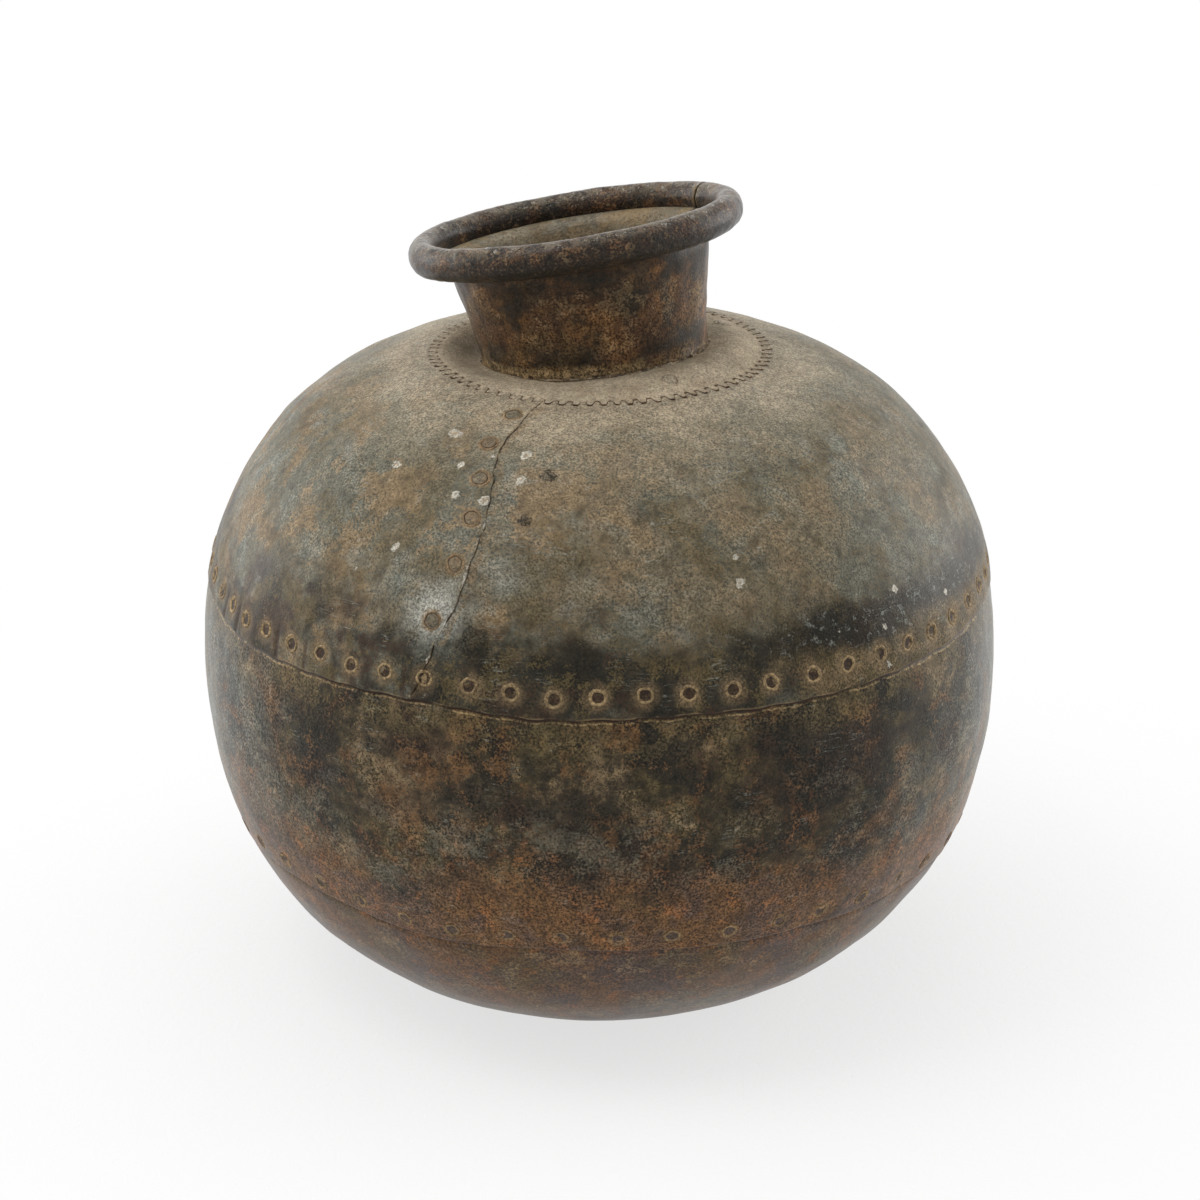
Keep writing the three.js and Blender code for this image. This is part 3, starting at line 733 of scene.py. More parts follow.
def make_rim_roll(sizes, materials):
    line = rim_section()
    along = np.gradient(line, axis=0)
    along /= np.linalg.norm(along, axis=1)[:, None]
    out = np.stack([-along[:, 1], along[:, 0]], axis=1)
    columns = places_along(2 * np.pi * RIM_RADIUS - RIM_JOINT_GAP, spacing=0.0016)
    to_joint = np.minimum(columns, 1 - columns) * 2 * np.pi * RIM_RADIUS
    gap = RIM_JOINT_GAP / RIM_RADIUS
    azimuth = RIM_JOINT + gap / 2 + columns[None, :] * (2 * np.pi - gap)
    swell = 1 + 0.012 * round_waves(azimuth, 2, 9, seed=71)
    middle = np.array((RIM_RADIUS, RIM_RISE))
    rolled = np.clip((np.arange(len(line)) - 8) / 12, 0, 1)[:, None]
    feathered = np.clip(np.arange(len(line)) / 9, 0.15, 1)[:, None]

    def strip(offset):
        section = line + out * offset * feathered
        scale = 1 + (swell - 1) * rolled
        radius = middle[0] + (section[:, :1] - middle[0]) * scale
        rise = middle[1] + (section[:, 1:] - middle[1]) * scale
        lumps = neck_points(radius, azimuth, rise)
        push = 0.00008 * waves(lumps, 0.02, 40, seed=72) + 0.00005 * waves(lumps, 0.006, 40, seed=73)
        push = push * rolled - lip(to_joint, 0.0005)
        return neck_points(radius + out[:, :1] * push, azimuth, rise + out[:, 1:] * push)

    outer = strip(sizes.sheet / 2)
    inner = strip(-sizes.sheet / 2)[::-1]
    turned = np.linspace(0, 1, len(line))[:, None]
    values = {"joint": np.minimum(to_joint * MILLIMETRES, FAR_AWAY), "turned": turned}
    # The section runs the other way round than a sheet of the body, so both grids are turned over
    values = {key: np.broadcast_to(value, outer.shape[:2])[:, ::-1] for key, value in values.items()}
    return sheet_piece("rim_roll_strip", outer[:, ::-1], inner[:, ::-1], materials, ["rim_roll"],
                       values, open_sides=True)


# Rivets

# Radius and height of a rivet's surface, as shares of its radius, from its middle to its sunk edge
RING_RIVET = (
    (0.3, 0.01), (0.55, 0.015), (0.66, 0.03), (0.7, 0.1), (0.76, 0.19), (0.82, 0.2), (0.89, 0.12),
    (1.0, 0.0), (1.03, -0.2),
)
FLUSH_RIVET = (
    (0.4, 0.07), (0.66, 0.06), (0.7, 0.01), (0.745, 0.0), (0.79, 0.04), (0.86, 0.06), (0.94, 0.045),
    (1.0, 0.0), (1.02, -0.2),
)
FLUSH_RADIUS = 1.12  # of a flush rivet, in radii of a row's rivet
RIVET_SIDES = 28


def rivet_shape(profile, radius, squash, seed):
    """Points and radii in millimetres of one hand-closed rivet that faces +Z."""
    random = np.random.default_rng(seed)
    share, height = np.array(profile).T
    turn = ring_azimuths(RIVET_SIDES)
    oval = 1 + 0.05 * random.normal() * np.cos(2 * turn + random.uniform(0, 6))
    oval = oval + 0.025 * round_waves(turn, 3, 6, seed)
    spread_out = share[:, None] * radius * oval
    tilt = random.normal(0, 0.015, 2)
    x, y = spread_out * np.sin(turn), -spread_out * np.cos(turn)
    z = height[:, None] * radius * squash * random.uniform(0.8, 1.15) + tilt[0] * x + tilt[1] * y
    return np.stack([x, y, z], axis=-1), np.broadcast_to((share * radius * MILLIMETRES)[:, None], x.shape)


def rivet_faces(rows):
    """The rivet's surface, closed over its middle and under it."""
    middle = np.arange(RIVET_SIDES)
    faces = grid_faces(rows, RIVET_SIDES, False, True)[:, ::-1].tolist()
    return [*faces, middle.tolist(), (middle[::-1] + (rows - 1) * RIVET_SIDES).tolist()]


def on_sheet(out, sizes):
    """A function of azimuth and arc that gives points on the outside of a sheet of the body."""
    return lambda azimuth, arc: body_points(azimuth, arc, out(np.array(azimuth), arc, sizes))


def make_rivets(name, places, point_at, profile, radius, squash, seed, materials, replaced=()):
    """Rivets at several places of a sheet as one piece, each lying on the sheet under it."""
    step = 0.0015
    points, rings, tones, faces = [], [], [], []
    random = np.random.default_rng(seed)
    for number, (azimuth, along) in enumerate(zip(*places)):
        across = (point_at(azimuth + step, along) - point_at(azimuth - step, along)) / (2 * step)
        up = (point_at(azimuth, along + step) - point_at(azimuth, along - step)) / (2 * step)
        outward = np.cross(across, up)
        outward = outward / np.linalg.norm(outward)
        shape, ring = rivet_shape(profile, radius * random.uniform(0.92, 1.08), squash, seed + number)
        start = len(points) * len(profile) * RIVET_SIDES
        x, y, z = np.moveaxis(shape, -1, 0)
        under = point_at(azimuth + x / np.linalg.norm(across), along + y / np.linalg.norm(up))
        points.append(under + z[..., None] * outward)
        rings.append(ring)
        tones.append(np.full(ring.shape, random.uniform()))
        faces += [[corner + start for corner in face] for face in rivet_faces(len(profile))]
    values = {"ring": np.array(rings), "tone": np.array(tones)}
    return finish_piece(name, np.array(points), faces, materials, replaced, values)


# Shared node groups: each puts out masks and values that change over the surface


class NodeBench:
    """Adds nodes to one tree, each fed as it is placed."""

    def __init__(self, tree):
        self.tree = tree

    def feed(self, socket, value):
        if isinstance(value, bpy.types.NodeSocket):
            self.tree.links.new(value, socket)
        elif socket.type == "RGBA" and len(value) == 3:
            socket.default_value = (*value, 1)
        else:
            socket.default_value = value

    def place(self, kind, inputs, **settings):
        node = self.tree.nodes.new(kind)
        for key, value in settings.items():
            setattr(node, key, value)
        for key, value in inputs.items():
            self.feed(node.inputs[key], value)
        return node

    def math(self, operation, first, second=0.0, clamp=False):
        node = self.place("ShaderNodeMath", {0: first, 1: second}, operation=operation, use_clamp=clamp)
        return node.outputs[0]

    def vector_math(self, operation, first, second=(0, 0, 0)):
        node = self.place("ShaderNodeVectorMath", {0: first, 1: second}, operation=operation)
        return node.outputs["Value" if operation == "DOT_PRODUCT" else "Vector"]

    def noise(self, vector, scale, detail=4.0, roughness=0.55, distortion=0.0):
        inputs = {"Vector": vector, "Scale": scale, "Detail": detail, "Roughness": roughness,
                  "Distortion": distortion}
        return self.place("ShaderNodeTexNoise", inputs).outputs["Fac"]

    def step(self, value, low, high, start=0.0, end=1.0):
        """An S-curve from start below low to end above high."""
        inputs = {"Value": value, "From Min": low, "From Max": high, "To Min": start, "To Max": end}
        return self.place("ShaderNodeMapRange", inputs, interpolation_type="SMOOTHSTEP").outputs["Result"]

    def blend(self, first, second, share):
        """A value between two others."""
        inputs = {"Value": share, "From Min": 0.0, "From Max": 1.0, "To Min": first, "To Max": second}
        return self.place("ShaderNodeMapRange", inputs).outputs["Result"]

    def mix(self, first, second, share):
        """A colour between two others."""
        node = self.place("ShaderNodeMix", {}, data_type="RGBA")
        factor, first_colour, second_colour = node.inputs[0], node.inputs[6], node.inputs[7]
        self.feed(factor, share)
        self.feed(first_colour, first)
        self.feed(second_colour, second)
        return node.outputs[2]

    def waver(self, cloud, amount):
        """A shift to both sides by a cloud's value."""
        return self.math("MULTIPLY", self.math("SUBTRACT", cloud, 0.5), amount)

    def seen(self):
        """1 for what the camera sees, directly or in another surface, and 0 for other light."""
        path = self.tree.nodes.new("ShaderNodeLightPath").outputs
        total = self.math("ADD", path["Is Camera Ray"], path["Is Glossy Ray"], clamp=True)
        return self.math("ADD", total, path["Is Transmission Ray"], clamp=True)


def shared_group(name, inputs, outputs, build):
    """A node group of that name, built the first time it is asked for."""
    if name in bpy.data.node_groups:
        return bpy.data.node_groups[name]
    tree = bpy.data.node_groups.new(name, "ShaderNodeTree")
    for key, default in inputs.items():
        kind = "NodeSocketFloat" if isinstance(default, float) else "NodeSocketVector"
        socket = tree.interface.new_socket(key, in_out="INPUT", socket_type=kind)
        socket.default_value = default
    for key in outputs:
        tree.interface.new_socket(key, in_out="OUTPUT", socket_type="NodeSocketFloat")
    bench = NodeBench(tree)
    given = tree.nodes.new("NodeGroupInput").outputs
    results = build(bench, given)
    target = tree.nodes.new("NodeGroupOutput")
    for key, value in zip(outputs, results):
        bench.feed(target.inputs[key], value)
    return tree


ANYWHERE = (0.0, 0.0, 0.0)


def grain_group():
    """Fine flecks of the skin, a softer tone under them and dark specks."""
    def build(bench, given):
        fine = bench.noise(given["Vector"], given["Scale"], 2.0, 0.7)
        coarse = bench.noise(given["Vector"], bench.math("MULTIPLY", given["Scale"], 0.2), 4.0, 0.65)
        turned = bench.vector_math("MULTIPLY", given["Vector"], (-1, 1, 1))
        dark = bench.noise(turned, bench.math("MULTIPLY", given["Scale"], 0.7), 2.0, 0.6)
        return [bench.step(fine, 0.3, 0.7), bench.step(coarse, 0.34, 0.66), bench.step(dark, 0.57, 0.66)]
    inputs = {"Vector": ANYWHERE, "Scale": 600.0}
    return shared_group("skin_grain", inputs, ["Fleck", "Tone", "Specks"], build)


def blotches_group():
    """Cloudy patches whose borders break up into flecks."""
    def build(bench, given):
        cloud = bench.noise(*(given[key] for key in ("Vector", "Scale", "Detail", "Raggedness", "Swirl")))
        broken = bench.math("ADD", cloud, bench.waver(given["Fleck"], given["Break up"]))
        return [bench.step(broken, given["Low"], given["High"])]
    inputs = {"Vector": ANYWHERE, "Scale": 20.0, "Detail": 7.0, "Raggedness": 0.66, "Swirl": 0.2,
              "Fleck": 0.5, "Break up": 0.1, "Low": 0.45, "High": 0.6}
    return shared_group("cloudy_patches", inputs, ["Mask"], build)


def height_band_group():
    """A band between two heights with wavering borders."""
    def build(bench, given):
        height = bench.place("ShaderNodeSeparateXYZ", {"Vector": given["Vector"]}).outputs["Z"]
        cloud = bench.noise(given["Vector"], given["Scale"], 4.0, 0.6)
        height = bench.math("ADD", height, bench.waver(cloud, given["Waver"]))
        borders = []
        for border, start, end in (("Low", 0.0, 1.0), ("High", 1.0, 0.0)):
            low = bench.math("SUBTRACT", given[border], given["Softness"])
            high = bench.math("ADD", given[border], given["Softness"])
            borders.append(bench.step(height, low, high, start, end))
        return [bench.math("MULTIPLY", *borders)]
    inputs = {"Vector": ANYWHERE, "Low": 0.0, "High": 0.1, "Softness": 0.01, "Waver": 0.05, "Scale": 20.0}
    return shared_group("height_band", inputs, ["Mask"], build)


def near_group():
    """A broken, ragged strip along an edge or round a spot, from a distance in millimetres."""
    def build(bench, given):
        cloud = bench.noise(given["Vector"], given["Scale"], 4.0, 0.65)
        distance = bench.math("ADD", given["Distance"], bench.waver(cloud, given["Ragged"]))
        close = bench.step(distance, given["From"], given["To"], 1.0, 0.0)
        started = bench.step(distance, bench.math("SUBTRACT", given["Start"], 0.3), given["Start"])
        broken = bench.step(cloud, given["Gaps"], bench.math("ADD", given["Gaps"], 0.12))
        return [bench.math("MULTIPLY", bench.math("MULTIPLY", close, started), broken)]
    inputs = {"Vector": ANYWHERE, "Distance": 0.0, "Start": -5.0, "From": 0.5, "To": 2.0, "Gaps": 0.35,
              "Ragged": 1.5, "Scale": 150.0}
    return shared_group("strip_near", inputs, ["Mask"], build)


def facing_group():
    """The side of the pot that faces a level direction, with wavering borders."""
    def build(bench, given):
        flat = bench.vector_math("MULTIPLY", given["Vector"], (1, 1, 0))
        level = bench.vector_math("NORMALIZE", flat)
        turned = bench.vector_math("DOT_PRODUCT", level, given["Direction"])
        cloud = bench.noise(given["Vector"], 16.0, 4.0, 0.6)
        return [bench.step(bench.math("ADD", turned, bench.waver(cloud, 0.6)), given["From"], given["To"])]
    inputs = {"Vector": ANYWHERE, "Direction": (0.0, -1.0, 0.0), "From": 0.3, "To": 0.9}
    return shared_group("side_facing", inputs, ["Mask"], build)


def scuffs_group():
    """Thin lines: level scratches where they are stretched, and cracks where they are not."""
    def build(bench, given):
        stretched = bench.vector_math("MULTIPLY", given["Vector"], given["Stretch"])
        lines = bench.noise(stretched, given["Scale"], 2.0, 0.5, 0.2)
        from_middle = bench.math("ABSOLUTE", bench.math("SUBTRACT", lines, 0.5))
        thin = bench.step(from_middle, 0.004, given["Width"], 1.0, 0.0)
        places = bench.noise(given["Vector"], 55.0, 3.0, 0.5)
        return [bench.math("MULTIPLY", thin, bench.step(places, given["Low"], given["High"]))]
    inputs = {"Vector": ANYWHERE, "Stretch": (1.0, 1.0, 14.0), "Scale": 45.0, "Width": 0.014, "Low": 0.56,
              "High": 0.66}
    return shared_group("thin_lines", inputs, ["Mask"], build)


# A thin rubbed wax, which shows at a low angle
WAX_ROUGHNESS = 0.28
WAX_INDEX = 1.2


class Finish(NodeBench):
    """One material whose colours are laid over each other."""

    def __init__(self, name, colour, roughness, grain_scale):
        self.material = bpy.data.materials.new(name)
        self.material.use_nodes = True
        super().__init__(self.material.node_tree)
        self.tree.nodes.clear()
        self.place_at = self.tree.nodes.new("ShaderNodeTexCoord").outputs["Object"]
        self.colour = colour
        self.roughness = roughness
        self.height = 0.0
        self.grain = self.group(grain_group(), Scale=grain_scale)

    def group(self, tree, **inputs):
        node = self.tree.nodes.new("ShaderNodeGroup")
        node.node_tree = tree
        for key, value in inputs.items():
            self.feed(node.inputs[key.replace("_", " ")], value)
        if "Vector" not in inputs:
            self.feed(node.inputs["Vector"], self.place_at)
        return node.outputs

    def stored(self, name):
        return self.place("ShaderNodeAttribute", {}, attribute_name=name).outputs["Fac"]

    def blotches(self, scale, low, high, shift, **inputs):
        """Patches about 1 / scale metres wide; the shift picks other places for them."""
        vector = self.vector_math("ADD", self.place_at, (shift, 2 * shift, -shift))
        inputs = {"Vector": vector, "Scale": scale, "Low": low, "High": high, **inputs}
        return self.group(blotches_group(), Fleck=self.grain["Fleck"], **inputs)[0]

    def band(self, low, high, softness, waver, scale=20.0):
        inputs = {"Low": low, "High": high, "Softness": softness, "Waver": waver, "Scale": scale}
        return self.group(height_band_group(), **inputs)[0]

    def near(self, distance, start, near, far, gaps, scale=150.0, ragged=1.0):
        inputs = {"Distance": distance, "Start": start, "From": near, "To": far, "Gaps": gaps, "Scale": scale,
                  "Ragged": ragged}
        return self.group(near_group(), **inputs)[0]

    def facing(self, degrees, start, end):
        angle = math.radians(degrees)
        direction = (math.sin(angle), -math.cos(angle), 0)
        return self.group(facing_group(), Direction=direction, From=start, To=end)[0]

    def scuffs(self, low, high):
        return self.group(scuffs_group(), Low=low, High=high)[0]

    def cracks(self):
        inputs = {"Stretch": (1, 1, 1), "Scale": 480.0, "Width": 0.09, "Low": -0.2, "High": -0.1}
        return self.group(scuffs_group(), **inputs)[0]

    def between(self, value, rise_from, rise_to, fall_from, fall_to):
        """1 between two soft borders and 0 outside them."""
        rise = self.step(value, rise_from, rise_to)
        return self.product(rise, self.step(value, fall_from, fall_to, 1.0, 0.0))

    def product(self, first, *others):
        for other in others:
            first = self.math("MULTIPLY", first, other)
        return first

    def lay(self, colour, share, *masks, roughness=None):
        """Lays a share of a colour over the others where all the masks are."""
        mask = self.product(*masks, share)
        self.colour = self.mix(self.colour, colour, mask)
        if roughness is not None:
            self.roughness = self.blend(self.roughness, roughness, mask)

    def stains(self, rows, *masks):
        """Lays cloudy patches over each other, inside the masks."""
        for colour, share, scale, low, high, shift, roughness in rows:
            self.lay(colour, share, self.blotches(scale, low, high, shift), *masks, roughness=roughness)

    def strips(self, rows):
        """Lays ragged strips along edges and round rivets over each other."""
        for colour, share, distance, start, near, far, gaps, scale, ragged, roughness in rows:
            strip = self.near(distance, start, near, far, gaps, scale, ragged)
            self.lay(colour, share, strip, roughness=roughness)

    def shade(self, tone, darkest, lightest):
        """Darkens and lightens the colours with a tone from 0 to 1."""
        inputs = {0: self.colour, "Scale": self.blend(darkest, lightest, tone)}
        self.colour = self.place("ShaderNodeVectorMath", inputs, operation="SCALE").outputs[0]

    def flecks(self, darkest, lightest, speck_colour, speck_share):
        """Breaks the colours up with the grain of the skin."""
        self.shade(self.grain["Tone"], (2 + darkest) / 3, (2 + lightest) / 3)
        self.shade(self.grain["Fleck"], darkest, lightest)
        self.lay(speck_colour, speck_share, self.grain["Specks"])

    def raise_by(self, value, millimetres):
        self.height = self.math("ADD", self.math("MULTIPLY", value, millimetres), self.height)

    def close(self, metallic, gloss, wax=0.0):
        self.raise_by(self.grain["Fleck"], 0.06)
        self.raise_by(self.grain["Tone"], 0.09)
        self.raise_by(self.grain["Specks"], -0.1)
        bump = self.place("ShaderNodeBump", {"Height": self.height, "Strength": 1.0, "Distance": 0.001})
        self.shader = self.place("ShaderNodeBsdfPrincipled", {
            "Base Color": self.colour, "Roughness": self.roughness, "Metallic": metallic,
            "Specular IOR Level": gloss, "Normal": bump.outputs["Normal"],
            "Coat Weight": wax, "Coat Roughness": WAX_ROUGHNESS, "Coat IOR": WAX_INDEX})
        self.output = self.place("ShaderNodeOutputMaterial", {"Surface": self.shader.outputs["BSDF"]})
        return self.material


# Finishes


# A row of stains: colour, share, scale, where its clouds start and are full, shift and roughness
# A row of strips: colour, share, distance, start, near, far, gaps, scale, raggedness and roughness


def shoulder_finish(colours):
    finish = Finish("shoulder_patina", colours.patina, 0.5, 1000.0)
    seam, tooth, slit = finish.stored("seam"), finish.stored("tooth"), finish.stored("slit")
    rivet, seam_rivet, crease = finish.stored("rivet"), finish.stored("seam_rivet"), finish.stored("crease")
    spot, scar, painted_sheen = finish.stored("bare_spot"), finish.stored("scar"), finish.stored("painted_sheen")
    left = finish.facing(-62, -0.2, 0.8)
    front = finish.facing(14, 0.6, 0.85)
    right = finish.facing(52, 0.84, 0.96)
    broad = finish.blotches(16.0, 0.47, 0.6, 0.0, Detail=5.0)
    rounded = finish.blotches(40.0, 0.51, 0.56, 2.1, Detail=4.0, Raggedness=0.55)
    finish.lay(colours.tan, 0.45, broad, roughness=0.58)
    finish.stains((
        (colours.pale_patina, 0.35, 26.0, 0.53, 0.63, 1.3, 0.42),
        (colours.tan, 0.4, 52.0, 0.52, 0.6, 7.2, 0.55),
    ))
    finish.lay(colours.tan, 0.85, rounded, left, roughness=0.58)
    finish.lay(colours.pale_patina, 0.4, finish.blotches(56.0, 0.55, 0.62, 2.8), left, roughness=0.4)
    finish.stains((
        (colours.olive, 0.6, 34.0, 0.53, 0.6, 3.0, None),
        (colours.soot, 0.4, 80.0, 0.57, 0.63, 3.6, None),
    ))
    finish.lay(colours.khaki, 0.55, finish.band(0.290, 0.4, 0.012, 0.04), roughness=0.7)
    finish.lay(colours.dust, 0.5, finish.band(0.298, 0.4, 0.004, 0.03), roughness=0.7)
    finish.lay(colours.soot, 0.85, finish.band(0.19, 0.227, 0.009, 0.05, 22.0), front, roughness=0.42)
    finish.stains((
        (colours.soot, 0.8, 38.0, 0.47, 0.54, 4.2, 0.42),
        (colours.umber, 0.8, 34.0, 0.5, 0.57, 5.0, 0.46),
        (colours.olive, 0.8, 60.0, 0.53, 0.6, 5.6, 0.5),
    ), finish.band(0.19, 0.232, 0.012, 0.07, 26.0))
    streak = finish.product(right, finish.band(0.215, 0.230, 0.005, 0.03, 40.0))
    finish.lay(colours.olive, 0.85, right, finish.band(0.19, 0.217, 0.005, 0.03))
    finish.lay(colours.tan, 0.5, right, finish.band(0.19, 0.216, 0.005, 0.03),
               finish.blotches(70.0, 0.47, 0.55, 9.4))
    finish.lay(colours.soot, 0.75, streak, roughness=0.42)
    finish.lay(colours.pale_patina, 0.5, streak, finish.blotches(260.0, 0.57, 0.63, 9.8), roughness=0.4)
    # Painted highlight: pale patina and bright iron laid round those places and broken into streaks, as a
    # shine of light on the shoulder
    streaks = finish.blotches(70.0, 0.28, 0.52, 6.4, Break_up=0.06)
    finish.lay(colours.pale_patina, 0.7, finish.step(painted_sheen, -18.0, 3.0, 1.0, 0.0), streaks, roughness=0.34)
    finish.lay(colours.bare_and_glint, 0.8, finish.step(painted_sheen, -22.0, -5.0, 1.0, 0.0), streaks, roughness=0.3)
    finish.lay(colours.pale_patina, 0.6, finish.scuffs(0.54, 0.62), roughness=0.4)
    finish.strips((
        (colours.tan, 0.55, rivet, -5.0, 3.5, 8.5, 0.3, 60.0, 8.0, 0.65),
        # Painted shade: umber along the creases between the belly rivets
        (colours.umber, 0.7, crease, -5.0, 200.0, 800.0, 0.2, 150.0, 1.0, 0.6),
        (colours.tan, 0.5, seam, -3.4, -0.8, 0.8, 0.42, 110.0, 6.0, 0.65),
        (colours.tan, 0.7, seam_rivet, -5.0, 4.6, 6.2, 0.36, 120.0, 6.0, 0.6),
        (colours.rust, 0.6, tooth, -5.0, 0.7, 1.3, 0.4, 120.0, 1.0, 0.7),
        # Painted highlight: a pale line on the shoulder below the teeth, where its edge catches the light
        (colours.dust, 0.6, tooth, 1.3, 1.5, 1.9, 0.44, 120.0, 1.0, 0.7),
        # Painted shadow: a dark line along the shoulder's edge, cast by the ends of the teeth
        (colours.umber, 0.75, tooth, -5.0, 0.2, 0.6, 0.34, 120.0, 1.0, 0.7),
        (colours.umber, 0.4, slit, -0.5, 0.2, 0.6, 0.42, 70.0, 1.0, 0.7),
        (colours.dust, 0.7, spot, -20.0, -0.2, 0.4, 0.0, 190.0, 8.0, 0.5),
        (colours.bare_and_glint, 0.75, spot, -0.9, 0.0, 0.4, 0.3, 190.0, 8.0, 0.4),
        (colours.soot, 0.45, scar, -20.0, -0.2, 0.6, 0.0, 120.0, 12.0, 0.4),
    ))
    finish.lay(colours.soot, 0.9, finish.near(scar, -20.0, 0.2, 0.8, 0.0, 120.0, 12.0), finish.cracks())
    finish.flecks(0.5, 1.5, colours.soot, 0.3)
    finish.strips((
        (colours.ochre, 0.4, seam, 0.3, 0.7, 1.2, 0.46, 120.0, 2.0, 0.6),
        (colours.umber, 0.8, finish.math("ABSOLUTE", seam), -5.0, 0.05, 0.5, 0.38, 150.0, 1.0, 0.7),
    ))
    return finish.close(metallic=0.1, gloss=0.1, wax=0.3)


def belly_finish(colours):
    finish = Finish("belly_patina", colours.olive, 0.5, 900.0)
    seam, rivet = finish.stored("seam"), finish.stored("rivet")
    under_seam = finish.band(0.183, 0.3, 0.006, 0.04)
    middle = finish.band(0.095, 0.15, 0.014, 0.06)
    low = finish.band(-0.1, 0.111, 0.018, 0.09)
    rusty = finish.band(-0.1, 0.13, 0.03, 0.1)
    # Away from the front of the belly: grey patina laid there is partly the pot's own colour and partly a
    # painted pale shine at its left and right edges
    sides = finish.facing(0, 0.75, 0.35)
    finish.stains((
        (colours.tan, 0.85, 24.0, 0.485, 0.535, 0.7, 0.6),
        (colours.soot, 0.9, 20.0, 0.48, 0.515, 1.9, 0.44),
        (colours.soot, 0.8, 44.0, 0.51, 0.54, 2.3, 0.44),
        (colours.umber, 0.7, 34.0, 0.53, 0.58, 2.7, 0.5),
        (colours.rust, 0.7, 48.0, 0.53, 0.59, 3.2, 0.6),
        (colours.soot, 0.5, 100.0, 0.53, 0.59, 7.7, 0.44),
    ))
    finish.lay(colours.soot, 0.5, finish.band(0.118, 0.172, 0.014, 0.08), finish.facing(0, 0.45, 0.85),
               finish.blotches(22.0, 0.43, 0.5, 8.3), roughness=0.44)
    finish.lay(colours.patina, 0.5, sides, finish.blotches(24.0, 0.42, 0.56, 3.3))
    finish.lay(colours.patina, 0.4, middle, finish.blotches(36.0, 0.5, 0.57, 4.9))
    finish.lay(colours.pale_patina, 0.25, sides, finish.blotches(16.0, 0.46, 0.58, 9.1))
    finish.lay(colours.olive, 0.7, under_seam, finish.blotches(44.0, 0.44, 0.52, 6.6))
    finish.stains((
        (colours.rust, 0.85, 30.0, 0.36, 0.48, 4.4, 0.62),
        (colours.plum, 0.75, 32.0, 0.5, 0.56, 5.2, 0.52),
        (colours.rust, 0.5, 26.0, 0.45, 0.57, 8.8, 0.6),
        (colours.soot, 0.45, 90.0, 0.57, 0.62, 5.7, 0.5),
    ), low)
    finish.lay(colours.orange, 0.45, rusty, finish.blotches(110.0, 0.55, 0.63, 6.1))
    finish.lay(colours.pale_patina, 0.45, finish.scuffs(0.55, 0.63), roughness=0.4)
    finish.strips((
        (colours.ochre, 0.35, rivet, -5.0, 4.0, 6.0, 0.44, 140.0, 6.0, 0.7),
        (colours.ochre, 0.5, seam, -1.9, -1.5, -1.0, 0.42, 90.0, 3.0, 0.7),
    ))
    finish.flecks(0.22, 1.9, colours.soot, 0.45)
    line = finish.near(finish.math("ABSOLUTE", seam), -5.0, 0.5, 1.1, 0.08, 150.0, 4.0)
    finish.lay(colours.umber, 1.0, line)
    return finish.close(metallic=0.08, gloss=0.08, wax=0.7)


def bottom_finish(colours):
    finish = Finish("bottom_rust", colours.plum, 0.55, 800.0)
    finish.stains((
        (colours.rust, 0.75, 28.0, 0.43, 0.56, 0.9, 0.65),
        (colours.olive, 0.6, 28.0, 0.51, 0.62, 1.7, 0.6),
        (colours.patina, 0.45, 20.0, 0.52, 0.64, 2.3, 0.5),
        (colours.orange, 0.45, 90.0, 0.56, 0.64, 2.5, 0.72),
        (colours.tan, 0.5, 54.0, 0.55, 0.64, 3.5, 0.65),
    ))
    finish.flecks(0.5, 1.5, colours.soot, 0.4)
    seam = finish.math("ABSOLUTE", finish.stored("seam"))
    finish.lay(colours.umber, 0.8, finish.near(seam, -5.0, 0.3, 1.0, 0.36), roughness=0.7)
    return finish.close(metallic=0.08, gloss=0.08, wax=0.7)


def neck_plate_finish(colours):
    finish = Finish("neck_plate_dust", colours.dust, 0.7, 1000.0)
    foot, tooth, slit = finish.stored("foot"), finish.stored("tooth"), finish.stored("slit")
    finish.stains((
        (colours.patina, 0.2, 34.0, 0.5, 0.62, 0.8, 0.55),
        (colours.tan, 0.3, 46.0, 0.51, 0.6, 1.6, None),
    ))
    finish.strips((
        (colours.tan, 0.5, foot, -5.0, 1.5, 4.0, 0.42, 110.0, 6.0, None),
        (colours.rust, 0.4, tooth, -5.0, 0.6, 1.2, 0.46, 120.0, 1.0, 0.7),
        (colours.umber, 0.55, tooth, -5.0, 0.2, 0.6, 0.38, 120.0, 1.0, 0.7),
        (colours.umber, 0.4, slit, -0.5, 0.2, 0.6, 0.42, 70.0, 1.0, 0.7),
    ))
    finish.flecks(0.62, 1.4, colours.umber, 0.3)
    finish.lay(colours.umber, 0.8, finish.near(foot, -5.0, 0.9, 1.7, 0.4, 90.0, 4.0))
    return finish.close(metallic=0.0, gloss=0.15)


